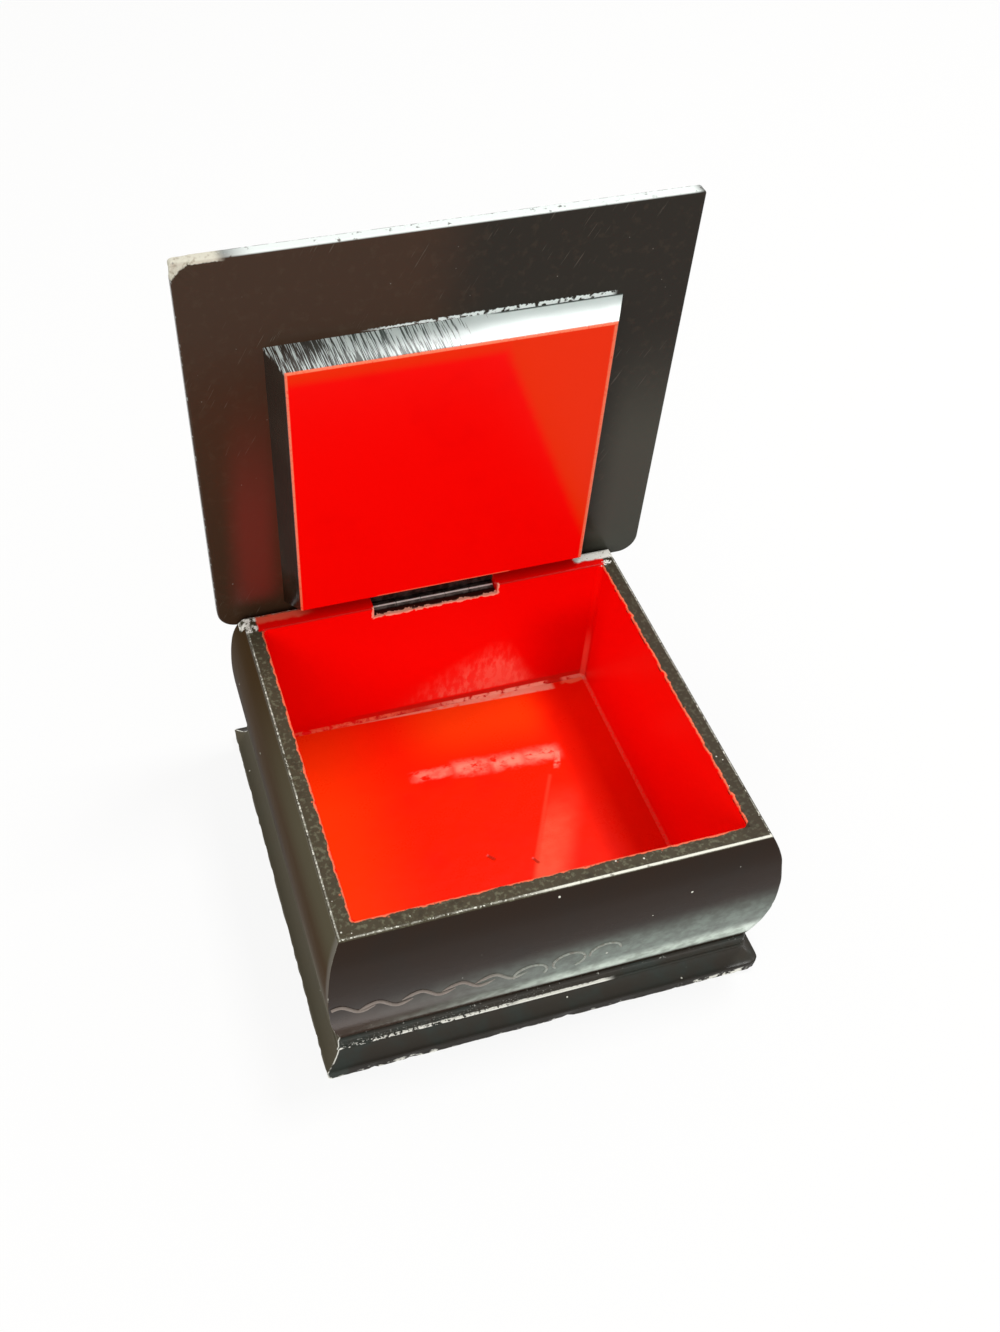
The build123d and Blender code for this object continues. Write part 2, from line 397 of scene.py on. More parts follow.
def close_skin(piece, sharp_angle=40):
    """Weld a skin, turn its faces outwards and smooth it between its sharp edges."""
    skin = bmesh.new()
    skin.from_mesh(piece.data)
    bmesh.ops.remove_doubles(skin, verts=skin.verts, dist=0.000002)
    bmesh.ops.dissolve_degenerate(skin, edges=skin.edges, dist=0.000001)
    bmesh.ops.recalc_face_normals(skin, faces=skin.faces)
    if skin.calc_volume(signed=True) < 0:
        bmesh.ops.reverse_faces(skin, faces=skin.faces)
    open_edges = sum(1 for edge in skin.edges if not edge.is_manifold)
    for face in skin.faces:
        face.smooth = True
    for edge in skin.edges:
        edge.smooth = edge.calc_face_angle(0) < radians(sharp_angle)
    skin.to_mesh(piece.data)
    volume = round(skin.calc_volume() * 1e6, 2)
    print(piece.name, "faces", len(skin.faces), "open edges", open_edges, "cm3", volume)
    skin.free()


def drift(point, size, seed=0.0):
    """Smooth random number from about -1 to 1, for patches of a size in millimetres."""
    return noise.noise(Vector(point) / size + Vector((seed, seed * 1.7, -seed)))


# %% [markdown]
# ## Finishes
# The lacquer is a clear coat over paint over a pale ground. Each finish starts from the
# paint, adds the brush marks and the unevenness of the coat as bump and roughness, and
# then shows the ground or bare card where a distance to an arris, broken up with noise,
# says that the coat has worn through. All patterns read Object coordinates, so they
# stay on the piece when the lid turns. Some colours stand in for light and shade
# instead: painted shade and shadow, painted highlights and painted reflections, each
# said where it is laid.

# %% Helpers for finishes


class Finish:
    """One procedural material, with the point being shaded at hand in millimetres."""

    def __init__(self, name, turned=None, gloss=0.5):
        self.material = bpy.data.materials.new(name)
        self.material.use_nodes = True
        self.tree = self.material.node_tree
        self.shader = self.tree.nodes["Principled BSDF"]
        self.shader.inputs["IOR"].default_value = 1.5
        self.shader.inputs["Specular IOR Level"].default_value = gloss
        self.colour = None
        where = self.tree.nodes.new("ShaderNodeTexCoord").outputs["Object"]
        self.point = self.mapped(where, Scale=(1 / MM, 1 / MM, 1 / MM))
        if turned is not None:
            angle, pivot_y, pivot_z = turned
            self.point = self.mapped(self.point, Location=(0, -pivot_y, -pivot_z))
            self.point = self.mapped(self.point, Rotation=(angle, 0, 0))
        parts = add_node(self.tree, "ShaderNodeSeparateXYZ", {"Vector": self.point})
        self.x, self.y, self.z = (Field(self.tree, parts.outputs[i]) for i in range(3))

    def mapped(self, vector, **changes):
        """A vector that is scaled, then turned, then moved."""
        return add_node(self.tree, "ShaderNodeMapping", {"Vector": vector, **changes}).outputs[0]

    def noise(self, vector, size, detail, roughness=0.5):
        """Noise from 0 to 1 at a place."""
        values = {"Vector": vector, "Scale": 1 / size, "Detail": detail, "Roughness": roughness}
        return Field(self.tree, add_node(self.tree, "ShaderNodeTexNoise", values).outputs[0])

    def grain(self, size, detail=3.0, stretch=(1, 1, 1), seed=0.0):
        """Noise from 0 to 1 with patches of a size in millimetres."""
        place = self.mapped(self.point, Scale=stretch, Location=(seed, seed * 2, seed * 3))
        return self.noise(place, size, detail, roughness=0.55)

    def strokes(self, across, along, size):
        """Noise from 0 to 1 drawn out into fine strokes: narrow across and long along them."""
        drawn = add_node(self.tree, "ShaderNodeCombineXYZ", {"X": across, "Y": along * 0.05})
        return self.noise(drawn.outputs[0], size, 3.0)

    def specks(self, spacing, size, seed=0.0):
        """One inside small scattered dots and zero between them."""
        shaped = self.mapped(self.point, Location=(seed, -seed, seed / 2))
        values = {"Vector": shaped, "Scale": 1 / spacing}
        node = add_node(self.tree, "ShaderNodeTexVoronoi", values)
        edge = size / spacing
        return Field(self.tree, node.outputs["Distance"]).fall(edge * 0.6, edge)

    def streak(self, u, v, start, end, half, soft=0.5):
        """One along a straight stroke between two points of a surface, zero away from it."""
        du, dv = end[0] - start[0], end[1] - start[1]
        length = sqrt(du * du + dv * dv)
        along = ((u - start[0]) * du + (v - start[1]) * dv) / length
        aside = abs((u - start[0]) * dv - (v - start[1]) * du) / length
        ends = (along.low(length - along)).rise(-half, half)
        return aside.fall(half * (1 - soft), half * (1 + soft)) * ends

    def blend(self, under, over, mask):
        """One colour, with another over it where the mask is one."""
        values = {0: mask, 6: under, 7: over}
        node = add_node(self.tree, "ShaderNodeMix", values, data_type="RGBA", clamp_factor=True)
        return node.outputs[2]

    def lay(self, over, mask):
        """Lay a colour over the finish's own colour so far."""
        self.colour = self.blend(self.colour, over, mask)

    def coat(self, roughness, height, depth):
        """Connect the colour, roughness and surface height, in mm, to the shader."""
        values = {"Height": height, "Distance": depth * MM, "Strength": 1.0}
        bump = add_node(self.tree, "ShaderNodeBump", values)
        self.tree.links.new(self.colour, self.shader.inputs["Base Color"])
        self.tree.links.new(roughness.socket, self.shader.inputs["Roughness"])
        self.tree.links.new(bump.outputs[0], self.shader.inputs["Normal"])
        print(self.material.name, "nodes", len(self.tree.nodes))
        return self.material


# %% Mix the paints


def paint(red, green, blue):
    """A colour as a colour picker gives it, 0 to 255, turned to the renderer's scale."""
    levels = []
    for value in (red, green, blue):
        part = value / 255
        levels.append(part / 12.92 if part <= 0.04045 else ((part + 0.055) / 1.055) ** 2.4)
    return (*levels, 1.0)


black = paint(40, 27, 18)
cool_black = paint(34, 29, 24)
old_black = paint(67, 50, 30)
rim_black = paint(68, 62, 47)
olive = paint(92, 88, 72)
red = paint(246, 4, 1)
# Some of these paints stand in for light: a lighter red for painted light on the right wall, a
# deeper red for painted shade and shadow, and the pinks partly for painted highlights along the
# joints
lit_red = paint(255, 9, 4)
orange_red = paint(252, 36, 1)
shade_red = paint(214, 1, 0)
joint_sheen_pink = paint(238, 84, 66)
wear_and_sheen_pink = paint(240, 118, 84)
bare_and_sheen_pink = paint(243, 170, 146)
ground = paint(232, 232, 220)
card = paint(120, 96, 72)
print("paints mixed")

# %% [markdown]
# ### Lacquer on the walls
# One skin carries three paints: red inside and over the back wall's top, a duller black
# on the rim, and gloss black outside. The brush left a wavering line between red and
# black along the inner arris, where the coat has also rubbed down to a pink line.

# %% Paint the cavity


def cavity_paint(f, waver, fine, beyond_x, beyond_y):
    """Red lacquer, with painted shade in the far corner, painted light on the right wall, a
    painted sheen low on the back wall, and a painted shadow and painted highlights at the joints.
    """
    low_back = f.y.rise(37, 39.5)
    # Painted shade deepens the red towards the far right corner; painted light brightens the
    # lower part of the right wall
    shaded = f.x.rise(16, 35) * low_back * f.z.fall(24, 40)
    colour = f.blend(red, shade_red, shaded)
    colour = f.blend(colour, lit_red, f.x.rise(40, 41.2) * f.y.fall(30, 38))
    # Painted sheen: a pale brushed patch low on the back wall stands in for a reflection
    sheen_top = f.x * 0.5 + 13.5
    sheen = (f.z - sheen_top).fall(-7, 7) * (f.x - f.z * 0.2).rise(-18, 8)
    sheen = sheen * (f.x + f.z * 0.5).fall(25, 34) * low_back * f.z.rise(9.4, 10.4)
    brushed = f.grain(1.3, 5, stretch=(1, 1, 0.45), seed=15.0).rise(0.4, 0.7)
    strength = 0.3 + brushed + f.x.rise(8, 20) * f.z.fall(16, 20) * 0.4
    colour = f.blend(colour, paint(248, 116, 98), (sheen * strength).low(0.9))
    # The glued joints along the floor and up the far corner: a painted shadow line under the
    # sheen, and painted highlights on the lacquer pooled in the joints
    joint = f.z.fall(floor_height + 0.45, floor_height + 0.8)
    joint_shadow = f.z.fall(9.0, 9.9) * low_back * f.x.rise(-30, -8)
    colour = f.blend(colour, paint(190, 30, 18), joint_shadow * 0.85)
    sides = joint * fine.rise(0.3, 0.6) * f.y.fall(37, 38.5)
    colour = f.blend(colour, joint_sheen_pink, sides * 0.8)
    at_back = joint * f.y.rise(37, 38.5)
    pale_sheen = at_back * (f.x.rise(-6, 10) * f.x.fall(30, 32)).high(f.x.rise(34.5, 36) * 0.5)
    colour = f.blend(colour, bare_and_sheen_pink, pale_sheen * waver.rise(0.3, 0.5))
    left = at_back * f.x.fall(-14, 0) * waver.rise(0.36, 0.56)
    colour = f.blend(colour, paint(250, 128, 92), left * 0.8)
    upright = (beyond_x + beyond_y).rise(-1.3, -0.9) * f.z.fall(16, 26)
    upright = upright * f.x.rise(30, 32) * f.y.rise(30, 32)
    return f.blend(colour, joint_sheen_pink, upright * 0.6)


# %% Paint and wear the walls


def lay_varnish_and_reflection(f, patch, on_left):
    """Brown-black, gone olive on the left, with a painted reflection of the table low on the
    front.
    """
    f.colour = f.blend(black, cool_black, patch.rise(0.4, 0.8) * 0.5)
    aged = f.blend(old_black, paint(51, 36, 18), f.z.fall(26, 34) * f.y.rise(-30, 0))
    aged = f.blend(aged, olive, f.z.rise(36, 44) * f.y.fall(-20, 34) * 0.8)
    aged = f.blend(aged, olive, f.y.fall(-44, -14) * f.z.fall(22, 32))
    f.lay(aged, on_left)
    # Painted reflection of the white table low on the front, brighter towards the foot
    front = f.y.fall(-45.2, -44.8) * (1 - on_left)
    reach = f.x.rise(-54, 16) * front
    low = (f.z - f.x * 0.04 + (patch - 0.5) * 3).fall(20.5, 31) * f.z.rise(10.9, 12.9)
    toward_foot = (f.z - f.x * 0.03).fall(13.5, 18.5)
    table_reflection = f.blend(paint(116, 128, 120), paint(226, 240, 230), toward_foot)
    mottled = 0.68 + f.grain(2.0, 4, seed=12.0).rise(0.35, 0.68) * 0.34
    mottled = mottled + (f.grain(4.6, 3, seed=31.0) - 0.5) * 0.9
    f.lay(table_reflection, reach * low * mottled)
    # A dimmer brown painted reflection low on the front's left
    dim_reflection = f.x.fall(-46, 10) * front * (f.z + (patch - 0.5) * 3).fall(17, 27)
    f.lay(paint(88, 70, 62), dim_reflection * 0.5)


def rim_paint(f):
    """Dull black with pale and dark flecks."""
    flecks = f.grain(0.9, 5, seed=4.0).rise(0.5, 0.66)
    colour = f.blend(rim_black, paint(106, 106, 86), flecks * 0.75)
    stains = f.grain(2.6, 4, seed=14.0).rise(0.55, 0.75)
    colour = f.blend(colour, paint(46, 40, 30), stains * 0.6)
    return f.blend(colour, paint(50, 40, 30), f.x.rise(38, 41) * 0.5)


def lay_slot_wear_and_shade(f, fine):
    """Chipped lip of the hinge slot, with painted shade on the floor of the slot behind it."""
    torn = f.grain(1.5, 3, seed=37.0)
    on_sill = abs(f.z - slot_floor).fall(0.03, 0.06) * (f.y - cavity_back).rise(-0.1, 0.0)
    on_sill = on_sill * abs(f.x).fall(slot_half, slot_half + 0.05)
    # Painted shade: the floor of the slot is laid dark
    f.lay(paint(52, 16, 11), on_sill)
    on_sill = on_sill * (f.y - cavity_back - (torn - 0.3) * 3.4).fall(0.0, 0.2)
    under = (slot_floor - f.z - (torn - 0.36) * 1.8).fall(0.0, 0.15)
    under = under * abs(f.x).fall(slot_half, slot_half + 0.5)
    beside = (abs(f.x) - slot_half - (torn - 0.3) * 1.6).fall(0.0, 0.15)
    beside = beside * (f.z - slot_floor).rise(-0.2, 0.2)
    at_lip = abs(f.y - cavity_back + 0.1).fall(0.3, 0.9) * f.z.rise(41.6, 42.0)
    lip = (under.high(beside) * at_lip).high(on_sill)
    f.lay(bare_and_sheen_pink, lip * fine.rise(0.26, 0.36))


def walls_finish(name, gloss, dulled=0.0):
    f = Finish(name, gloss=gloss)
    waver = f.grain(1.6, 4, seed=3.0)
    patch = f.grain(11.0, 3, seed=7.0)
    fine = f.grain(0.5, 4, seed=1.0)
    # Distance beyond the cavity's outline, whose front right corner the painter rounded
    beyond_x = abs(f.x) - cavity_half_width
    beyond_y = abs(f.y - cavity_middle) - cavity_half_depth
    bend = 0.8 + f.x.rise(20, 30) * f.y.fall(-30, -20) * 1.4
    corner_x, corner_y = (beyond_x + bend).high(0), (beyond_y + bend).high(0)
    beyond = (corner_x * corner_x + corner_y * corner_y).calc("SQRT") - bend
    # Which paint lies where
    on_back = (f.y - cavity_back).rise(-0.6, 0.0) * beyond_x.fall(0.7, 1.2)
    on_top = (f.z - rim_height + f.y.rise(41.5, 42.6) * 2.0).rise(-0.42, -0.26)
    red_edge = 0.12 + (waver - 0.5) * 0.9 + (f.grain(3.2, 2, seed=36.0) - 0.5) * 1.1
    below = (f.z - rim_height).fall(-0.9, -0.5)
    inside = (beyond - red_edge).fall(-0.08, 0.08).high(below * beyond.fall(0.6, 0.9))
    ragged_y = f.y + (waver - 0.5) * 2
    back_red = on_back * ragged_y.fall(rim_half_depth - 1.1, rim_half_depth - 0.3)
    red_part = inside.high(back_red)
    black_part = 1 - red_part
    rim_part = on_top * black_part
    to_side, to_end = abs(f.x) - rim_half_width, abs(f.y) - rim_half_depth
    outer = to_side.high(to_end)
    on_left = f.x.fall(-45.2, -44.6) * (to_side - to_end).rise(-0.05, 0.05)
    lay_varnish_and_reflection(f, patch, on_left)
    f.lay(rim_paint(f), rim_part)
    f.lay(cavity_paint(f, waver, fine, beyond_x, beyond_y), red_part)
    # Along the back wall's top: a dark crease in front, rubbed behind
    crease = abs(f.y - cavity_back - 0.1).fall(0.1, 0.45) * on_top * beyond_x.fall(-0.6, 0.2)
    f.lay(paint(186, 16, 8), crease * 0.75)
    rubbed = on_back * on_top * f.x.fall(-33, -28) * (f.y + waver * 1.6).rise(42.4, 43.4)
    f.lay(paint(244, 104, 78), rubbed * 0.7)
    # Worn line between red and black, with a few crumbs outside it
    on_edge = on_top * (1 - on_back)
    line = abs(beyond - red_edge - 0.1).fall(0.08, 0.3) * on_edge
    f.lay(wear_and_sheen_pink, line * fine.rise(0.2, 0.45))
    crumbs = f.specks(1.5, 0.34, seed=6.0) * beyond.rise(0.1, 0.3) * beyond.fall(0.6, 1.3)
    f.lay(f.blend(wear_and_sheen_pink, card, patch.rise(0.4, 0.6)), crumbs * on_edge * 0.8)
    # Rubbed mitres and outer arris, dotted with wear; along the front's right half the arris line
    # is a solid painted highlight
    mitre = abs(to_side - to_end)
    mitre_line = mitre.fall(0.05, 0.22) * outer.rise(0.2, 0.5)
    mitre_line = mitre_line * f.grain(1.2, 4, seed=10.0).rise(0.56, 0.68)
    solid_glint = f.x.rise(-14, 2) * f.y.fall(-44.2, -43.6)
    arris = 1 - abs(outer + 0.2).rise(0.06 + solid_glint * 0.06, 0.24 + solid_glint * 0.1)
    arris = arris * (f.z - rim_height).rise(-0.9, -0.6)
    dotted = f.grain(0.5, 4, seed=9.0).rise(0.5, 0.6)
    dotted = dotted.high(f.grain(2.0, 4, seed=29.0).rise(0.36, 0.6) * 0.34)
    rim_line = arris * dotted.high(solid_glint * f.grain(1.5, 4, seed=16.0).rise(0.26, 0.38))
    # Painted highlight on the left wall beside the front mitre
    mitre_glint = on_left * mitre.fall(0.6, 2.4) * f.y.fall(-40, -38) * f.z.rise(24, 34)
    f.lay(paint(122, 118, 112), mitre_glint * (1 - on_top) * 0.6)
    spots = f.specks(9.0, 0.8, seed=19.0) * (outer + 0.6).rise(-0.6, 0.2) * on_top
    wear_and_glint = rim_line.high(mitre_line * 0.5).high(spots) * black_part
    f.lay(ground, wear_and_glint)
    dots = f.specks(6.0, 0.3, seed=2.0).high(f.specks(3.4, 0.16, seed=5.0) * rim_part)
    f.lay(ground, dots * black_part * 0.9)
    lay_slot_wear_and_shade(f, fine)
    # The back left corner has lost its coat down to the white ground; along the back right arris
    # the white strip is partly worn ground and partly a painted highlight
    torn_x = (f.x + (waver - 0.5) * 2 + (patch - 0.5) * 5).rise(34.8, 35.8)
    right = torn_x * (f.y + (waver - 0.5) * 1.2).rise(41.6, 42.2)
    inner = f.x.rise(40.6, 41.4) * f.y.rise(38.6, 39.4) * f.grain(1.0, 3, seed=33.0)
    right = right.high(inner.rise(0.5, 0.56)).low(on_top)
    left = (f.y - 39.4 + (waver - 0.5) * 3).rise(0, 0.8) * f.x.fall(-42.8, -42.0)
    bare_and_glint = right.high(left.low(on_top) * f.grain(1.4, 3, seed=21.0).rise(0.4, 0.5))
    f.lay(f.blend(paint(248, 247, 240), card, fine.rise(0.6, 0.68)), bare_and_glint)
    rough = 0.14 + dulled + rim_part * 0.3 + wear_and_glint * 0.4 + bare_and_glint * 0.5 + fine * 0.06
    rough = rough + patch * 0.05 + red_part * 0.1
    height = f.grain(3.5, 2, seed=6.0) * 0.5 + fine * 0.1 - wear_and_glint * 1.0 - bare_and_glint
    height = height + rim_part * f.grain(0.9, 4) * 1.2
    return f.coat(rough, height, depth=0.07)


wall_lacquer = walls_finish("wall_lacquer", 0.14)
old_lacquer = walls_finish("old_lacquer", 0.0015, 0.15)
rim_lacquer = walls_finish("rim_lacquer", 0.14, 0.06)

# %% [markdown]
# ## The walls
# The tube is lofted from the foot up the outside, over the rim, down the inside and back
# along its hidden foot. A small cove of pooled lacquer joins the walls to the floor.

# %% Loft the walls
cove = 0.8
rim_arris = 0.4
inner_arris = 0.35
inner_start = 0.7


def wall_rectangles():
    belly_top = rim_height - rim_arris * 1.2
    outside = [(bulge_at(height), height) for height in spread(plinth_height, belly_top, 44)]
    for share in (0.35, 0.62, 0.82, 0.94):
        height = belly_top + (rim_height - belly_top) * share
        outside.append((bulge_at(height) - rim_arris * share**3, height))
    cove_top = floor_height + cove
    inside = arc_points((inner_arris, rim_height - inner_arris), inner_arris, 90, 180, 5)
    inside += [(0, height) for height in spread(rim_height - inner_start, cove_top, 26)]
    inside += arc_points((-cove, cove_top), cove, 0, -90, 6)[1:]
    inside += [(board_rebate, floor_height), (board_rebate, 0)]
    inside += [(spigot_wall, 0), (spigot_wall, plinth_height)]
    rows = [rim_ring(*place) for place in outside]
    start, end = rim_ring(-rim_arris, rim_height), cavity_ring(inner_arris, rim_height)
    rows += [between(start, end, share) for share in spread(0.0, 1.0, 11)[:-1]]
    rows += [cavity_ring(*place) for place in inside]
    return rows + rows[:1]


walls = stack_rectangles("wall_tube", wall_rectangles(), wall_lacquer, steps=150)
print("wall points", len(walls.data.vertices))

# %% [markdown]
# ### Ease the corners
# The lofted skin has knife-sharp mitres. A moved point is cheap here, so the rear arris
# gets its wide easing, the cavity's corners their lacquer radius, and the mitres a small
# round that wanders with the wear.

# %% Round a corner in plan
least_round = 0.12


def round_corner(x, y, corner_x, corner_y, radius):
    """Bring a point near a convex corner onto a circle that touches both sides."""
    side_x, side_y = side_of(corner_x), side_of(corner_y)
    centre_x = corner_x - side_x * radius
    centre_y = corner_y - side_y * radius
    dx, dy = (x - centre_x) * side_x, (y - centre_y) * side_y
    if dx <= 0 or dy <= 0:
        return x, y
    shrink = min(1.0, radius / sqrt(dx * dx + dy * dy))
    return centre_x + side_x * dx * shrink, centre_y + side_y * dy * shrink


def round_mitre(x, y, out, radius):
    """Round the mitre of a rectangle that stands out from the rim's outline."""
    corner_x = (rim_half_width + out) * side_of(x)
    corner_y = (rim_half_depth + out) * side_of(y)
    return round_corner(x, y, corner_x, corner_y, max(least_round, radius))


neck_slope = Vector((rim_height - neck_centre[1], neck_centre[0])).normalized()
neck_out = Vector((-neck_centre[0], rim_height - neck_centre[1])).normalized()
half_angle = (pi - neck_out.angle(Vector((0, 1)))) / 2
ease_direction = (Vector((0, -1)) - neck_out).normalized()
ease_reach = back_arris / sin(half_angle)
ease_centre = Vector((rim_half_depth, rim_height)) + ease_direction * ease_reach


def shape_wall(p):
    x, y, z = p
    out = max(abs(x) - rim_half_width, abs(y) - rim_half_depth)
    in_cavity = max(abs(x) - cavity_half_width, abs(y - cavity_middle) - cavity_half_depth) < 0.01
    if in_cavity and z > floor_height:
        corner_y = cavity_middle + cavity_half_depth * side_of(y - cavity_middle)
        x, y = round_corner(x, y, cavity_half_width * side_of(x), corner_y, cavity_corner)
    elif z > plinth_height - 0.01 and out > -0.6:
        bulge = max(bulge_at(min(z, rim_height)), 0.0) if z < rim_height - rim_arris else out
        wear = 0.3 + 0.25 * drift((x, y, z), 3.0, 5.0)
        wear += 0.5 * max(0, drift((x, y, z), 1.2, 2.0) - 0.35)
        x, y = round_mitre(x, y, bulge, wear)
    # The rear arris is eased where a point lies between the two lines that the arc touches
    offset = Vector((y, z)) - ease_centre
    beyond = offset.length > back_arris and offset.y > 0 and offset.dot(neck_slope) > 0
    if beyond and offset.angle(ease_direction) > pi / 2:
        facing = offset.normalized()
        if facing.y > neck_out.y - 0.001 and facing.x > 0:
            y, z = ease_centre + facing * back_arris
    return x, y, z


reshape(walls, shape_wall)
print("ease centre", [round(v, 2) for v in ease_centre])

# %% [markdown]
# ### Cut the hinge slot
# The slot goes through the back wall's top: an open notch, and below it a round groove
# for the barrel. A Boolean modifier cuts it, and its lower lip is then chipped by moving
# the points along it. The back wall's paint lies a little proud, so that it hides the
# ends of the cross pins.

# %% Cut the slot
pin_cover = 0.03
cutter_reach = 6 * back_wall
cutter_rise = 9


def slot_cutter():
    """A prism along X with the outline of the notch and its groove."""
    front, rear = axis_y - cutter_reach, axis_y + cutter_reach
    above = rim_height + cutter_rise
    outline = [(front, slot_floor), (axis_y - groove_radius, slot_floor)]
    outline += arc_points((axis_y, axis_z), groove_radius, 180, 360, 17)
    outline += [(axis_y + groove_radius, slot_floor), (rear, slot_floor)]
    outline += [(rear, above), (front, above)]
    cutter = bmesh.new()
    ring = [cutter.verts.new((-slot_half * MM, y * MM, z * MM)) for y, z in outline]
    end = cutter.faces.new(ring)
    grown = bmesh.ops.extrude_face_region(cutter, geom=[end])
    for item in grown["geom"]:
        if isinstance(item, bmesh.types.BMVert):
            item.co.x = slot_half * MM
    bmesh.ops.recalc_face_normals(cutter, faces=cutter.faces)
    mesh = bpy.data.meshes.new("slot_cutter")
    cutter.to_mesh(mesh)
    cutter.free()
    return new_piece("slot_cutter", mesh)


cutter = slot_cutter()
cut = walls.modifiers.new("slot", "BOOLEAN")
cut.operation = "DIFFERENCE"
cut.solver = "EXACT"
cut.object = cutter
close_skin(walls)
plain_mesh(walls)
bpy.data.objects.remove(cutter)


def chip_lip(p):
    x, y, z = p
    on_lip = abs(z - slot_floor) < 0.002 and abs(y - cavity_back) < 0.05
    if on_lip and abs(x) < slot_half - 0.1:
        loss = max(0.0, 0.16 + 0.5 * drift((x, 0, 0), 1.3, 8.0))
        return x, y + loss * 0.8, z - loss * 0.1
    if abs(y - cavity_back) < 0.01 and floor_height + 1 < z < slot_floor - 0.5:
        return x, y - pin_cover, z
    return x, y, z


reshape(walls, chip_lip)
close_skin(walls)


def wall_coat(x, y, z):
    """Gloss outside, older and duller on the left, and semi-gloss on the rim and inside."""
    to_side, to_end = abs(x) - rim_half_width, abs(y) - rim_half_depth
    if max(to_side, to_end) < -0.05 or z > rim_height - 0.4:
        return 2
    return 1 if x < 0 and to_side > to_end else 0


coat_faces(walls.data, [wall_lacquer, old_lacquer, rim_lacquer], wall_coat)
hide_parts("body_walls")
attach(walls, "box")

# %% [markdown]
# ## Gilt wave
# A painter's wave runs along the front: short overlapping strokes, each starting just
# above the tail of the last, which turn into loops and fade towards the right. Each
# stroke is a line of points on the bulging wall, and a Geometry Nodes tree gives the
# lines their thickness, thinner at both ends as a brush leaves them.

# %% Make the gilt


def gilt_finish():
    f = Finish("faded_gilt", gloss=0.3)
    rubbed = f.grain(0.8, 4, seed=3.0)
    f.colour = f.blend(paint(140, 129, 122), paint(152, 158, 150), f.x.rise(-20, -4))
    f.lay(paint(112, 104, 96), rubbed.rise(0.42, 0.62) * (0.3 + f.x.rise(-14, 2) * 0.4))
    return f.coat(0.42 + rubbed * 0.2, rubbed, depth=0.02)


faded_gilt = gilt_finish()

# %% Build a tree that thickens strokes


def stroke_tree():
    """Turn lines of edges into thin closed tubes, with a width stored on each point."""
    inputs = {"Lines": "Geometry", "Half width": "Float", "Sides": "Int", "Finish": "Material"}
    tree, given = start_tree("brush_strokes", inputs, "Strokes")
    press = stored(tree, "press")
    lines = add_node(tree, "GeometryNodeMeshToCurve", {"Mesh": given["Lines"]})
    widths = {"Curve": lines.outputs[0], "Radius": press}
    pressed = add_node(tree, "GeometryNodeSetCurveRadius", widths)
    round_brush = {"Resolution": given["Sides"], "Radius": given["Half width"]}
    brush = add_node(tree, "GeometryNodeCurvePrimitiveCircle", round_brush, mode="RADIUS")
    drawn = {"Curve": pressed.outputs[0], "Profile Curve": brush.outputs[0], "Fill Caps": True}
    tube = add_node(tree, "GeometryNodeCurveToMesh", drawn)
    if "Scale" in tube.inputs:
        tree.links.new(press, tube.inputs["Scale"])
    return end_tree(tree, tube.outputs[0], given["Finish"])


brush_tree = stroke_tree()

# %% Paint the wave
wave_half_width = 0.43
wave_sunk = 0.05
wave_start = -48.1
stroke_points = 37
loop_points = 33
loop_height = 0.92
loop_press = 0.75
wave_crests = ((-46.5, 27.0), (-38.7, 25.7), (-29.7, 25.5), (-21.2, 24.8), (-14.1, 24.5))
loops = ((-5.8, 21.1, 3.6, -25, 190), (2.6, 22.4, 3.5, -60, 215), (10.6, 22.8, 3.4, 5, 190))


def on_front(x, z):
    """The point of the front wall at a place across and a height, just under its surface."""
    return Vector((x, -(rim_half_depth + bulge_at(z) - wave_sunk), z)) * MM


def wave_stroke(crest_x, crest_z):
    """One stroke that rises to its crest, drops into a trough and ends in a short tail."""
    run_in, half_wave, tail, depth = 3.7, 4.6, 3.0, 3.5
    points = []
    for share in spread(0.0, 1.0, stroke_points):
        along = share * (run_in + half_wave + tail) - run_in
        if along < 0:
            drop = 1.9 * (-along / run_in) ** 1.8
        elif along < half_wave:
            drop = depth * (1 - cos(pi * along / half_wave)) / 2
        else:
            drop = depth - 1.1 * ((along - half_wave) / tail) ** 1.4
        press = min(1.0, 0.35 + 4 * share, 0.3 + 4 * (1 - share))
        points.append((crest_x + along, crest_z + 0.15 - drop, press))
    return points


def loop_stroke(middle_x, middle_z, radius, start, end):
    """Part of a faint loop."""
    arc = arc_points((0, 0), radius, start, end, loop_points)
    return [(middle_x + x, middle_z + z * loop_height, loop_press) for x, z in arc]


strokes = [wave_stroke(*crest) for crest in wave_crests]
strokes[0] = [point for point in strokes[0] if point[0] > wave_start]
strokes += [loop_stroke(*loop) for loop in loops]
wave_points, wave_edges, presses = [], [], []
for stroke in strokes:
    first = len(wave_points)
    for x, z, press in stroke:
        wave_points.append(on_front(x, z))
        presses.append(press)
    wave_edges += [(i, i + 1) for i in range(first, len(wave_points) - 1)]
wave_mesh = bpy.data.meshes.new("wave_lines")
wave_mesh.from_pydata(wave_points, wave_edges, [])
wave_mesh.attributes.new("press", "FLOAT", "POINT").data.foreach_set("value", presses)
wave = new_piece("gilt_wave", wave_mesh)
run_tree(wave, brush_tree, faded_gilt, {"Half width": wave_half_width * MM, "Sides": 8})
close_skin(wave)
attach(wave, "box")

# %% [markdown]
# ## Floor
# The floor is the top of the base board and only shows inside the box, so the carried
# piece keeps its shape and gets the red finish, with painted light and shadow, painted
# reflections, painted highlights along the joints and two dark nicks.

# %% Make the floor's finish
glare_path = ((-11.5, 18.4), (-1, 18.3), (8, 17.5), (17, 17.2), (25.8, 17.1))


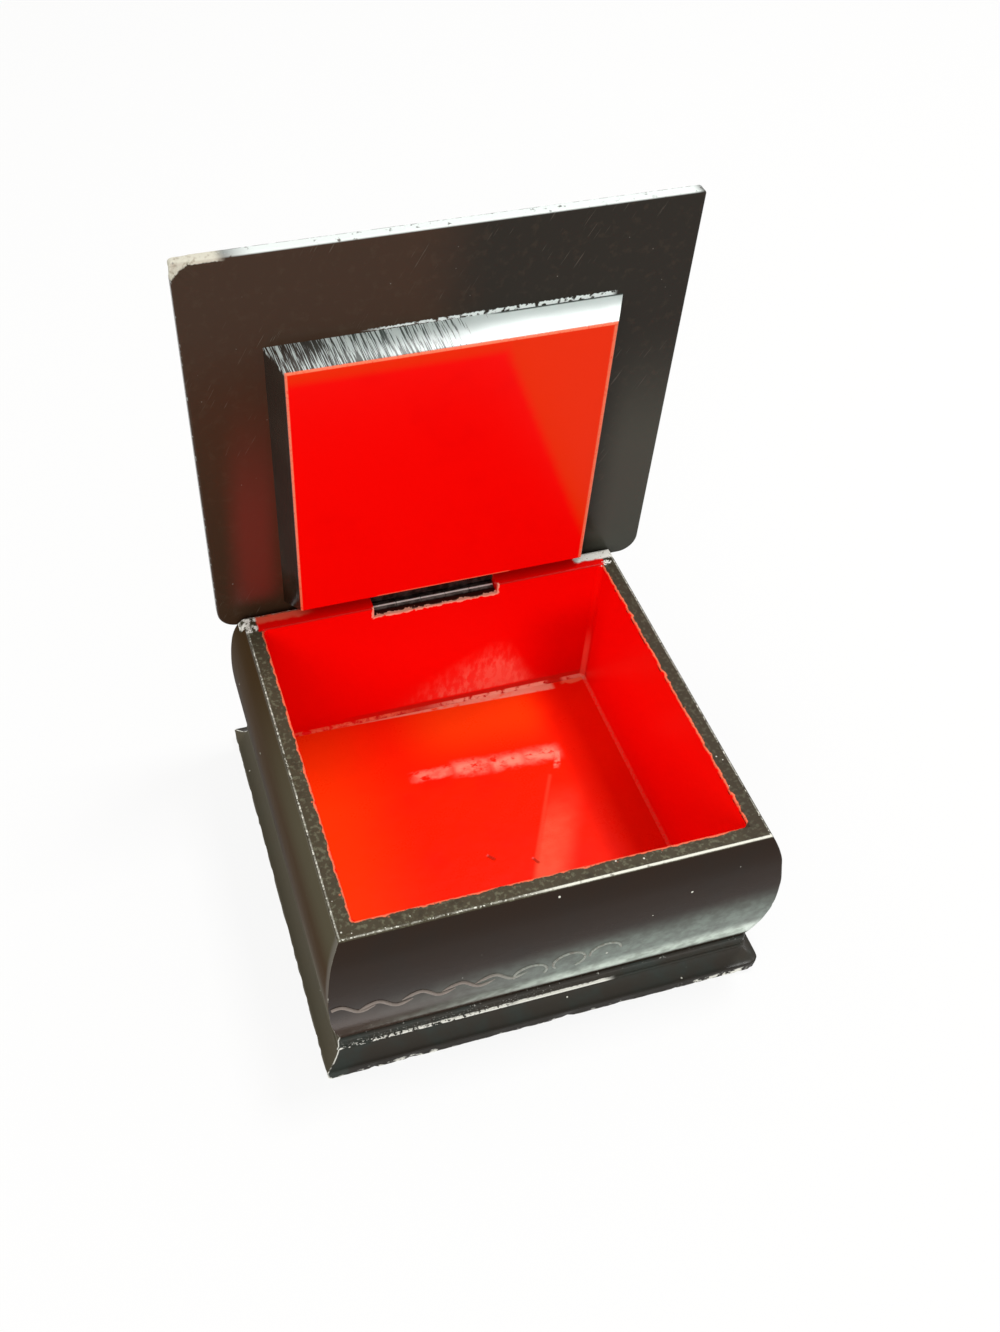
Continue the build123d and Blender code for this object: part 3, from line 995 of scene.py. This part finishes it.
def floor_finish():
    f = Finish("floor_lacquer", gloss=0.12)
    patch = f.grain(12.0, 3, seed=2.0)
    fine = f.grain(0.6, 4, seed=1.0)
    cloud = f.grain(1.9, 5, stretch=(0.6, 1, 1), seed=5.0)
    f.colour = f.blend(orange_red, red, patch.rise(0.45, 0.8) * 0.4)
    # Painted light: lighter and more orange towards the left
    f.lay(paint(255, 72, 4), f.x.fall(-38, -12) * 0.8)
    f.lay(paint(252, 70, 9), f.y.rise(18, 32) * f.x.rise(-16, 4) * f.x.fall(20, 30))
    # Painted shadow of the right wall over the floor's right part
    right = (f.x + (patch - 0.5) * 2 - f.y.rise(24, 36) * 3).rise(24.5, 29.5)
    f.lay(shade_red, right * 0.4)
    # Painted reflection: a pale pink streak across the middle of the floor
    u, v = f.x + (cloud - 0.5) * 1.6, f.y + (cloud - 0.5) * 2.4
    glare = f.streak(u, v, glare_path[0], glare_path[1], 1.4) * 0.8
    for start, end in zip(glare_path[1:], glare_path[2:]):
        glare = glare.high(f.streak(u, v, start, end, 1.9, soft=0.8))
    glare = glare.high(f.streak(u, v, glare_path[-1], (23.8, 12.2), 0.7))
    blob = f.grain(3.4, 3, seed=38.0).rise(0.34, 0.56)
    f.lay(paint(248, 158, 134), glare * cloud.rise(0.34, 0.5) * (0.5 + blob * 0.5))
    # A painted reflection as a paler patch at the front with a sharp left edge, and two dark
    # nicks
    from_edge = f.x - ((f.y + 10) * 0.52 + 10.8)
    pale_sheen = from_edge.rise(-0.6, 1.4) * from_edge.fall(4, 12) * f.y.fall(-8, 9)
    f.lay(paint(252, 100, 68), pale_sheen * (0.3 + cloud + f.y.fall(-14, 2) * 0.2))
    edge = f.streak(f.x, f.y, (21.4, 10.4), (9.2, -13), 0.4, soft=0.9)
    f.lay(paint(252, 108, 74), edge * 0.3)
    nicks = f.streak(f.x, f.y, (-1.2, -8.6), (0.2, -10.2), 0.4)
    nicks = nicks.high(f.streak(f.x, f.y, (8.8, -12.2), (9.8, -13.8), 0.35))
    f.lay(paint(176, 40, 20), nicks * 0.8)
    # Painted highlights on the lacquer pooled in the joints: along the back, widening to the
    # right, and along the sides
    width = (f.x + 18) * 0.036 + 1.0
    band = (f.y - cavity_back + width).rise(-0.25, 0.25)
    band = band * f.x.rise(-41, -30) * f.x.fall(31.5, 33)
    f.lay(bare_and_sheen_pink, band * cloud.rise(0.26, 0.5))
    f.lay(wear_and_sheen_pink, f.streak(u, v, (35.0, 38.4), (41, 38.9), 0.8) * cloud.rise(0.36, 0.5))
    thin = (f.y - cavity_back).rise(-1.0, -0.6)
    f.lay(wear_and_sheen_pink, thin * cloud.rise(0.3, 0.55) * 0.8)
    side_joint = (f.x - cavity_half_width).rise(-0.9, -0.6)
    f.lay(joint_sheen_pink, side_joint * fine.rise(0.3, 0.55) * 0.8)
    rough = 0.22 + patch * 0.08 + glare * 0.15 + fine * 0.05
    height = f.grain(4.0, 2, seed=4.0) + fine * 0.1 - nicks * 1.5 + glare * cloud * 0.4
    return f.coat(rough, height, depth=0.07)


def coat_node(node, finish):
    """Give a carried piece its finish."""
    shape = frame["nodes"][node].data
    shape.materials.clear()
    shape.materials.append(finish)


floor_lacquer = floor_finish()
coat_node("base_board", floor_lacquer)
print("floor coated")

# %% [markdown]
# ## Plinth
# The plinth is a moulded frame: a plain upright face that flares into a cove and ends in
# a square foot edge. The foot edge has lost many small chips to the table.

# %% Make the plinth's finish
cove_radius = plinth_foot_out - plinth_top_out
bead_middle = plinth_foot_edge + cove_radius + plinth_bead


def plinth_finish(name, gloss):
    f = Finish(name, gloss=gloss)
    patch = f.grain(9.0, 3, seed=5.0)
    fine = f.grain(0.6, 4, seed=2.0)
    foot_left = f.x.fall(-46, -45)
    to_side, to_end = abs(f.x) - rim_half_width, abs(f.y) - rim_half_depth
    on_left = f.x.fall(-45.2, -44.8) * (to_side - to_end).rise(-0.05, 0.05)
    on_front = f.y.fall(-45.2, -44.8) * (1 - on_left)
    f.colour = f.blend(paint(54, 50, 44), paint(52, 58, 54), patch.rise(0.4, 0.75))
    f.lay(paint(46, 43, 39), f.z.fall(2.6, 3.0) * (1 - foot_left))
    # Painted light: the left side laid lighter
    f.lay(paint(88, 82, 66), on_left * 0.8)
    # Painted highlight along the bead on the front's left two thirds, broken into dots at the
    # left
    lumps = f.grain(0.9, 3, seed=13.0)
    on_bead = abs(f.z - bead_middle - 0.1 + (lumps - 0.5) * 0.9).fall(0.3, 0.6) * on_front
    solid_glint = f.x.rise(-12, -6) * f.x.fall(13, 16)
    more = f.x.rise(-42, -12) * 0.09 - f.x.fall(-40, -36) * 0.06
    dotted = (f.grain(0.7, 3, seed=39.0) + more).rise(0.48, 0.54) * f.x.fall(-10, -4)
    bead_glint = on_bead * (solid_glint * f.grain(1.2, 3, seed=15.0).rise(0.22, 0.34)).high(dotted)
    speckled = (f.z - bead_middle).rise(0.2, 0.5) * f.z.fall(8.2, 9.4) * on_front
    speckled = speckled * f.x.fall(-12, 8) * f.grain(0.45, 3, seed=18.0).rise(0.6, 0.68)
    # Rubbed mitres, top arris and foot
    mitre = abs(to_side - to_end)
    rubbed = mitre.fall(0.05, 0.3) * f.grain(1.5, 3, seed=6.0).rise(0.36, 0.5) * f.x.fall(0, 10)
    broad = (mitre - f.grain(1.2, 3, seed=35.0) * 1.6).fall(0.0, 0.3)
    rubbed = rubbed.high(broad * f.z.fall(0.4, 1.0) * foot_left)
    top_edge = on_front * abs(f.z - plinth_height + 0.25).fall(0.1, 0.35)
    top_edge = top_edge * f.grain(0.8, 4, seed=3.0).rise(0.64, 0.72)
    near_left = abs(f.x + 34).fall(4, 12) * on_front
    knocked = f.grain(1.8, 4, seed=8.0) + near_left * 0.06
    up_to = f.z + f.grain(2.0, 2) * 2.5 - near_left * 0.9
    chips = knocked.rise(0.56, 0.62) * up_to.fall(1.2, 2.2)
    foot_line = f.z.fall(0.2, 0.5) * f.grain(1.6, 4, seed=11.0).rise(0.44, 0.54) * 0.7
    foot_end = f.x.rise(28, 36) * (f.z + (patch - 0.5) * 2).fall(1.4, 2.2) * on_front
    foot_end = foot_end * f.grain(1.6, 4, seed=22.0).rise(0.5, 0.58) * f.x.fall(45, 48)
    wear_and_glint = chips.high(rubbed).high(top_edge * 0.7).high(foot_line).high(foot_end)
    wear_and_glint = wear_and_glint.high(bead_glint).high(speckled * 0.6)
    f.lay(paint(238, 238, 230), wear_and_glint)
    f.lay(ground, f.specks(5.0, 0.24, seed=4.0))
    rough = 0.2 + wear_and_glint * 0.4 + fine * 0.1 + on_left * 0.25
    height = f.grain(3.0, 2, seed=9.0) * 0.6 + fine * 0.2 - wear_and_glint * 1.2
    return f.coat(rough, height, depth=0.09)


plinth_lacquer = plinth_finish("plinth_lacquer", 0.14)
foot_lacquer = plinth_finish("foot_lacquer", 0.03)

# %% Loft the plinth
plinth_gap = 0.05
plinth_arris = 0.5
foot_round = 0.25
foot_edge_round = 0.2


def plinth_rectangles():
    rows = [cavity_ring(spigot_wall + plinth_gap, height) for height in (plinth_height, 0)]
    profile = [(plinth_foot_out - 1.2, 0), (plinth_foot_out - 0.5, 0)]
    profile += arc_points((plinth_foot_out - foot_round, foot_round), foot_round, -90, 0, 4)
    profile += [(plinth_foot_out, height) for height in (0.6, 0.9, 1.3, 1.7, 2.1, 2.5)]
    edge_centre = (plinth_foot_out - foot_edge_round, plinth_foot_edge - foot_edge_round)
    profile += arc_points(edge_centre, foot_edge_round, 0, 90, 4)
    cove_centre = (plinth_foot_out, plinth_foot_edge + cove_radius)
    profile += arc_points(cove_centre, cove_radius, -96, -180, 16)
    profile += arc_points((plinth_top_out, bead_middle), plinth_bead, -80, 80, 9)
    upright = bead_middle + plinth_bead
    heights = spread(upright, plinth_height - plinth_arris, 7)[:-1]
    profile += [(plinth_top_out, height) for height in heights]
    arris_centre = (plinth_top_out - plinth_arris, plinth_height - plinth_arris)
    profile += arc_points(arris_centre, plinth_arris, 0, 90, 7)
    profile.append((plinth_top_out - 1.0, plinth_height))
    return rows + [rim_ring(out, height) for out, height in profile] + rows[:1]


def shape_plinth(p):
    x, y, z = p
    out = max(abs(x) - rim_half_width, abs(y) - rim_half_depth)
    if out > 0.9:
        wear = 0.28 + 0.3 * drift((x, y, z), 2.5, 4.0) + (0.5 if z < 1.5 else 0.1)
        if x > 0 > y:
            wear += (1.9 if z < 3.0 else 0.8) + 0.5 * drift((x, y, z), 1.0, 3.0)
        x, y = round_mitre(x, y, out, wear)
    if z < 2.4 and out > plinth_foot_out - 0.6:
        loss = max(0.0, drift((x, y, 0), 1.7, 6.0) - 0.1) * 0.7
        loss += max(0.0, drift((x, y, 0), 7.0, 3.0)) * 0.4
        loss *= 1 - z / 2.6
        if abs(x) - rim_half_width > abs(y) - rim_half_depth:
            x -= loss * side_of(x)
        else:
            y -= loss * side_of(y)
        if z > 0.1:
            z = max(0.0, z - loss * 0.3)
    return x, y, z


def plinth_coat(x, y, z):
    """Duller below the cove."""
    return 1 if z < plinth_foot_edge - 0.1 else 0


plinth = stack_rectangles("plinth_moulding", plinth_rectangles(), plinth_lacquer, steps=130)
reshape(plinth, shape_plinth)
coat_faces(plinth.data, [plinth_lacquer, foot_lacquer], plinth_coat)
close_skin(plinth)
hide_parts("plinth")
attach(plinth, "box")

# %% [markdown]
# ## The lid's own frame
# The lid stands open, so its plate and block are lofted flat, as if it were shut, and
# then turned about the hinge axis. The finishes turn the other way to read the same flat
# coordinates.

# %% Set up the lid's frame
open_angle = -hinge["range_deg"][0]
swing = Matrix.Rotation(radians(-open_angle), 4, "X")
lid_turn = (radians(open_angle), axis_y, axis_z)
lid_shift = 1.5
block_shift = 0.65
lid_half_width = 51.95
lid_back = 0.55
lid_overhang = 3.499
lid_front = -(axis_y + rim_half_depth + lid_overhang)
lid_middle = (lid_back + lid_front) / 2
lid_half_depth = (lid_back - lid_front) / 2
plate_under = rim_height - axis_z + 0.1
plate_thickness = 2.4
plate_outer = plate_under + plate_thickness
block_depth = 5.9
block_face = plate_under - block_depth
print("open angle", open_angle, "plate from", round(lid_front, 2), "to", lid_back)


def swing_open(piece):
    """Turn a piece made flat, with the hinge axis as its origin, to where it stands."""
    place = Matrix.Translation(Vector((0, axis_y, axis_z)) * MM) @ swing
    piece.data.transform(place)


# %% Make the plate's finish
seam_line = 19.3


def plate_finish():
    f = Finish("plate_lacquer", lid_turn, gloss=0.16)
    patch = f.grain(16.0, 3, seed=2.0)
    fine = f.grain(0.55, 4, seed=3.0)
    smudge = f.grain(2.0, 5, seed=24.0)
    to_front = f.y - lid_front
    to_left = f.x - lid_shift + lid_half_width
    inner_face = (f.z - plate_under).fall(0.5, 1.2)
    # Brown on the left, cooler on the right, with smudges and scrapes, painted light at the lower
    # right and a painted reflection of the red inside at the lower left
    dusky = (f.x + (patch - 0.5) * 14).rise(-6, 12).high(1 - inner_face)
    f.colour = f.blend(paint(60, 42, 29), paint(38, 33, 26), dusky)
    f.lay(paint(76, 62, 48), smudge.rise(0.52, 0.72) * 0.2)
    scrape = f.strokes(f.x + f.y * 0.6, f.y - f.x * 0.6, 0.5).rise(0.64, 0.7)
    f.lay(paint(104, 96, 86), scrape * patch.rise(0.5, 0.62) * 0.5)
    # Painted light at the lower right of the inner face
    f.lay(paint(66, 66, 58), f.x.rise(36, 46) * f.y.rise(-66, -30) * inner_face)
    # Painted reflection of the red inside, at the lower left of the inner face
    red_reflection = abs(f.x + 40 + (f.y + 30) * 0.06).fall(1.5, 7.5)
    red_reflection = red_reflection * f.y.rise(-66, -26) * f.y.fall(-9, -4)
    f.lay(paint(100, 44, 36), red_reflection * inner_face * 0.85)
    # Worn edges, a painted highlight along the front edge, and the ragged pale line where the
    # block meets the plate
    edge = (lid_half_width - abs(f.x - lid_shift)).low(to_front.low(lid_back - f.y))
    rubbed = edge.fall(0.0, 0.3) * f.grain(1.3, 4, seed=6.0).rise(0.56, 0.66)
    broken = f.grain(1.5, 4, seed=16.0).rise(0.26, 0.4)
    far_arris = (f.z - plate_outer).rise(-0.5, -0.2) * f.grain(2.2, 4, seed=26.0).rise(0.44, 0.54)
    edge_glint = to_front.fall(0.1, 0.45) * f.x.rise(-44, -34) * f.x.fall(51, 53.5)
    edge_glint = edge_glint * broken * (1 - far_arris)
    seam_half = 0.12 + f.x.rise(-14, 20) * 0.3
    seam = abs(to_front - seam_line + (fine - 0.5) * 0.8).fall(seam_half, seam_half + 0.15)
    seam = seam * f.x.rise(-16, -10) * f.x.fall(36.5, 38)
    seam = seam * f.grain(1.3, 4, seed=27.0).rise(0.4, 0.5) * inner_face
    f.lay(paint(226, 234, 232), (rubbed * 0.5).high(edge_glint).high(seam))
    # The front left corner is chipped down to a cream ground
    sliver = (to_front + (fine - 0.5) * 0.6).fall(0.7, 0.9) * to_left.fall(8.0, 10.5)
    corner = to_left + to_front * 1.2 + (f.grain(1.4, 4, seed=9.0) - 0.5) * 2.0
    chipped = corner.fall(3.9, 4.3).high(sliver)
    stained = f.grain(0.9, 4, seed=12.0).rise(0.5, 0.75) * 0.6
    f.lay(f.blend(paint(208, 205, 190), card, stained), chipped)
    specks = f.specks(3.0, 0.12, seed=17.0) * smudge.rise(0.45, 0.6)
    f.lay(paint(150, 146, 138), f.specks(9.0, 0.26, seed=7.0).high(specks) * 0.7)
    rough = 0.17 + patch * 0.06 + fine * 0.06 + chipped * 0.5 + rubbed * 0.3
    height = f.grain(5.0, 2, seed=8.0) * 0.6 + fine * 0.1 - chipped * 2.0
    return f.coat(rough, height, depth=0.08)


plate_lacquer = plate_finish()

# %% Loft the plate
plate_arris = 0.35
plate_back_corner = 4.5
chip_reach = 4.0


def flat_rows(half_width, half_depth, middle, level, first=0.4):
    """Step from a rectangle's edge to its middle, closely at first, and close it there."""
    insets = (first, 1.0, 2.2, 4.5, 9.0, 17.0, 28.0)
    rows = [(half_width - inset, half_depth - inset, middle, level) for inset in insets]
    return rows + [(half_width - half_depth, 0.0, middle, level)]


def plate_rectangles():
    plate = (lid_half_width, lid_half_depth, lid_middle)
    edge = arc_points((-plate_arris, plate_under + plate_arris), plate_arris, -90, 0, 5)
    upright = plate_thickness - 2 * plate_arris
    edge += [(0, plate_under + plate_arris + upright * share) for share in (0.25, 0.5, 0.75)]
    edge += arc_points((-plate_arris, plate_outer - plate_arris), plate_arris, 0, 90, 5)
    rows = flat_rows(*plate, plate_under, plate_arris + 0.15)[::-1]
    rows += [(lid_half_width + out, lid_half_depth + out, lid_middle, z) for out, z in edge]
    return rows + flat_rows(*plate, plate_outer, plate_arris + 0.15)


def shape_plate(p):
    x, y, z = p
    inset = min(lid_half_width - abs(x), lid_half_depth - abs(y - lid_middle))
    wear = 0.9 + 0.3 * drift((x, y, 0), 3, 2)
    radius = plate_back_corner if y > lid_middle else wear
    if inset < radius - 0.1:
        corner_x = (lid_half_width - inset) * side_of(x)
        corner_y = (lid_half_depth - inset) * side_of(y - lid_middle)
        x, y = round_corner(x, y - lid_middle, corner_x, corner_y, radius - inset)
        y += lid_middle
    near_x = x + lid_half_width
    near_y = y - lid_front
    ragged = near_x + near_y * 1.2 + 1.0 * drift((x, y, 0), 1.2, 4.0)
    if ragged < chip_reach and near_x < 7 and near_y < 6:
        loss = min(1.0, (chip_reach - ragged) / 0.6) * (0.45 + 0.25 * drift((x, y, z), 0.9, 9.0))
        if z < plate_under + plate_thickness / 2:
            z += loss
        x += loss * 0.35
        y += loss * 0.25
    return x + lid_shift, y, z


plate = stack_rectangles("lid_panel", plate_rectangles(), plate_lacquer, steps=110)
reshape(plate, shape_plate)
swing_open(plate)
close_skin(plate)
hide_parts("lid_plate")
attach(plate, "lid")

# %% [markdown]
# ## The block under the lid
# The block's face is the brightest red on the box, and its tapered sides are black. The
# coat on the sides was rubbed across with coarse abrasive, which shows as fine bright
# scratches on the side that faces up.

# %% Sizes of the block
block_half_width = 36.95
block_back = 39.05 - axis_y
block_length = 67.45
block_side_taper = 2.95
block_front_taper = 2.6
block_back_taper = 1.7
block_arris = 0.3
arris_share = 0.06
arris_lift = 0.05
face_width = block_half_width - block_side_taper
print("block from", round(block_back - block_length, 2), "to", round(block_back, 2))

# %% Make the block's finish


def block_finish(name, gloss):
    f = Finish(name, lid_turn, gloss=gloss)
    patch = f.grain(14.0, 3, seed=4.0)
    waver = f.grain(1.6, 4, seed=5.0)
    fine = f.grain(0.5, 4, seed=6.0)
    depth = f.z - block_face
    below_plate = plate_under - f.z
    across = f.x - lid_shift - block_shift
    to_front = f.y - block_back + block_length
    red_part = (depth + (waver - 0.5) * 0.3).fall(0.22, 0.34)
    f.colour = f.blend(black, paint(62, 54, 44), patch.rise(0.4, 0.8) * 0.5)
    # Coarse strokes across the side that faces the front
    scratch = f.strokes(f.x + f.z * 0.17, f.z, 0.24)
    loose = f.strokes(f.x + f.z * 0.24, f.z, 0.55)
    front_side = (to_front - below_plate * (block_front_taper / block_depth)).fall(0.3, 0.8)
    f.lay(paint(64, 74, 70), front_side * f.x.rise(-34, -10))
    most = 0.07 + f.x.rise(-34, -8) * 0.04 + f.x.rise(-4, 22) * 0.3
    rubbed = front_side * (scratch * 0.6 + loose * 0.4 + most).rise(0.57, 0.63)
    rubbed = rubbed * (1 - below_plate.fall(0.15, 0.4) * f.x.rise(9, 14))
    f.lay(paint(214, 226, 224), rubbed * (0.7 + f.x.rise(0, 16) * 0.3))
    # Red face with a patch of warmer light and worn edges
    face = f.blend(red, paint(240, 2, 1), patch.rise(0.5, 0.9))
    glow = f.x - ((f.y + 52.5) * 0.43 + 18.9 + (waver - 0.5) * 1.2)
    glow = glow.rise(-1.5, 2.0) * f.y.fall(-16, -9)
    front_glow = (to_front - block_front_taper).fall(1.2, 3.8) * 0.8
    f.lay(f.blend(face, paint(234, 46, 2), glow.high(front_glow)), red_part)
    face_left, face_right = across + face_width, face_width - across
    face_back = block_back - block_back_taper - f.y
    thin_edge = face_left.low(to_front - block_front_taper).fall(0.15, 0.35)
    thin_edge = thin_edge.high(face_right.fall(0.5, 0.9))
    over_hinge = face_back.fall(0.3, 0.5) * abs(f.x - 2.0).fall(15.5, 16.5)
    edge_line = thin_edge.high(over_hinge) * depth.fall(0.3, 0.5)
    f.lay(wear_and_sheen_pink, edge_line * fine.rise(0.2, 0.5))
    height = f.grain(5.0, 2, seed=8.0) * 0.6 + (1 - red_part) * scratch * 0.5
    return f.coat(0.14 + fine * 0.05 + red_part * 0.12, height, depth=0.05)


block_lacquer = block_finish("block_lacquer", 0.35)
block_red = block_finish("block_red", 0.07)

# %% Loft the block


def block_rectangles():
    half = block_length / 2
    middle = block_back - half
    face_half = (block_length - block_front_taper - block_back_taper) / 2
    face_middle = block_back - block_back_taper - face_half
    glued = (block_half_width, half, middle, plate_under)
    face = (face_width, face_half, face_middle, block_face)
    rows = flat_rows(*glued)[::-1]
    rows += [between(glued, face, share) for share in spread(0.0, 1 - arris_share, 14)]
    for turn in (20, 45, 70, 90):
        drop = block_arris * (1 - cos(radians(turn))) - arris_lift
        rise = block_arris * (1 - sin(radians(turn)))
        rows.append((face_width - drop, face_half - drop, face_middle, block_face + rise))
    return rows + flat_rows(*face, block_arris + 0.2)


def shape_block(p):
    x, y, z = p
    return x + lid_shift + block_shift, y, z


def block_coat(x, y, z):
    """Red on the face, black on the sides."""
    return 1 if z < block_face + 0.02 else 0


block = stack_rectangles("lid_block_skin", block_rectangles(), block_lacquer, steps=90)
reshape(block, shape_block)
coat_faces(block.data, [block_lacquer, block_red], block_coat)
swing_open(block)
close_skin(block, sharp_angle=30)
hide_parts("lid_block")
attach(block, "lid")

# %% [markdown]
# ## Hinge
# The leaves and the pin keep their carried shapes. Their steel is dull and dark, with a
# painted highlight along the top of the barrel. The wall's cross pins are coated like the
# red paint in front of their ends.

# %% Coat the hinge


def steel_finish():
    f = Finish("hinge_steel")
    fine = f.grain(0.35, 4, seed=3.0)
    patch = f.grain(1.6, 3, seed=5.0)
    f.colour = f.blend(paint(84, 72, 68), paint(44, 32, 28), patch.rise(0.35, 0.65))
    # Painted highlight along the top of the barrel
    barrel_glint = abs(f.y - axis_y + 0.62).fall(0.06, 0.24) * (f.z - axis_z).rise(0.8, 1.0)
    f.lay(paint(238, 226, 220), barrel_glint)
    f.shader.inputs["Metallic"].default_value = 0.7
    return f.coat(0.32 + fine * 0.2, fine, depth=0.02)


hinge_steel = steel_finish()
for node in ("hinge_wall_leaf", "hinge_lid_leaf", "hinge_pin", "lid_cross_pins"):
    coat_node(node, hinge_steel)
coat_node("wall_cross_pins", floor_lacquer)

# %% [markdown]
# ## Camera, floor and light
# The photograph was taken from above and a little to the left. The camera's place was
# fitted to measured corners of the box, and its small shift keeps the box where the
# photograph has it.

# %% Place the camera
picture_height = 1332
focal_pixels = 1290.75
camera_turn = radians(-17.378)
camera_rise = radians(50.745)
camera_roll = radians(1.312)
camera_distance = 295.669
slide_right = -15.828
slide_up = 6.100
centre_right = -84.586
centre_down = 93.104
aim = Vector((0, 0, 22.9))

level_back = Vector((sin(camera_turn), -cos(camera_turn), 0))
back = level_back * cos(camera_rise) + Vector((0, 0, sin(camera_rise)))
level_right = (-back).cross(Vector((0, 0, 1))).normalized()
level_up = level_right.cross(-back)
right = level_right * cos(camera_roll) + level_up * sin(camera_roll)
up = level_up * cos(camera_roll) - level_right * sin(camera_roll)
eye = aim + back * camera_distance + right * slide_right + up * slide_up

lens = bpy.data.cameras.new("camera")
lens.sensor_width = 36
lens.lens = focal_pixels / picture_height * lens.sensor_width
lens.shift_x = -centre_right / picture_height
lens.shift_y = centre_down / picture_height
lens.clip_start = 0.01
camera = bpy.data.objects.new("camera", lens)
bpy.context.scene.collection.objects.link(camera)
rows = [(right[i], up[i], back[i], eye[i] * MM) for i in range(3)]
camera.matrix_world = Matrix((*rows, (0, 0, 0, 1)))
bpy.context.scene.camera = camera
print("lens", round(lens.lens, 2), "eye", [round(v, 1) for v in eye])

# %% Lay the floor


def seen_directly(tree):
    """One for rays that come straight from the camera, a reflection or a clear piece."""
    rays = tree.nodes.new("ShaderNodeLightPath").outputs
    seen = Field(tree, rays["Is Camera Ray"]) + Field(tree, rays["Is Glossy Ray"])
    return seen + Field(tree, rays["Is Transmission Ray"])


def mix_shaders(tree, share, usual, shown, output):
    """Show one shader in place of the usual one by a share, and connect them."""
    both = {0: share, 1: usual.outputs[0], 2: shown.outputs[0]}
    mixed = add_node(tree, "ShaderNodeMixShader", both)
    tree.links.new(mixed.outputs[0], tree.nodes[output].inputs["Surface"])


table_mesh = bpy.data.meshes.new("table")
reach = 3.0
whiteness = 0.88
corners = [(-reach, -reach, 0), (reach, -reach, 0), (reach, reach, 0), (-reach, reach, 0)]
table_mesh.from_pydata(corners, [], [(0, 1, 2, 3)])
table = new_piece("table", table_mesh)
table_paint = bpy.data.materials.new("table_paint")
table_paint.use_nodes = True
table_tree = table_paint.node_tree
table_coat = table_tree.nodes["Principled BSDF"]
table_coat.inputs["Base Color"].default_value = (0.85, 0.85, 0.84, 1)
table_coat.inputs["Roughness"].default_value = 0.9
white = add_node(table_tree, "ShaderNodeEmission", {"Strength": 1.0})
white_share = seen_directly(table_tree) * whiteness
mix_shaders(table_tree, white_share, table_coat, white, "Material Output")
table_mesh.materials.append(table_paint)

# %% Light the scene
world = bpy.data.worlds.new("studio")
world.use_nodes = True
world_tree = world.node_tree
sky = world_tree.nodes["Background"]
sky.inputs["Color"].default_value = (1, 0.97, 0.92, 1)
sky.inputs["Strength"].default_value = 0.57
plain_white = {"Color": (1, 1, 1, 1), "Strength": 1.0}
backdrop = add_node(world_tree, "ShaderNodeBackground", plain_white)
mix_shaders(world_tree, seen_directly(world_tree), sky, backdrop, "World Output")
bpy.context.scene.world = world


def soft_lamp(name, place, size, power, target=(0, 0, 40)):
    """A square soft lamp at a place in mm, facing a target in mm."""
    lamp = bpy.data.lights.new(name, "AREA")
    lamp.shape = "SQUARE"
    lamp.size = size * MM
    lamp.energy = power
    holder = bpy.data.objects.new(name, lamp)
    bpy.context.scene.collection.objects.link(holder)
    holder.location = Vector(place) * MM
    facing = Vector(target) - Vector(place)
    holder.rotation_euler = facing.to_track_quat("-Z", "Y").to_euler()
    return holder


soft_lamp("overhead_softbox", (310, 130, 900), 210, 4.6, target=(310, 130, 0))
fill = soft_lamp("front_fill", (-350, -700, 450), 400, 3.0)
fill.visible_glossy = False
bpy.context.scene.view_settings.view_transform = "Standard"
print("lamps placed")
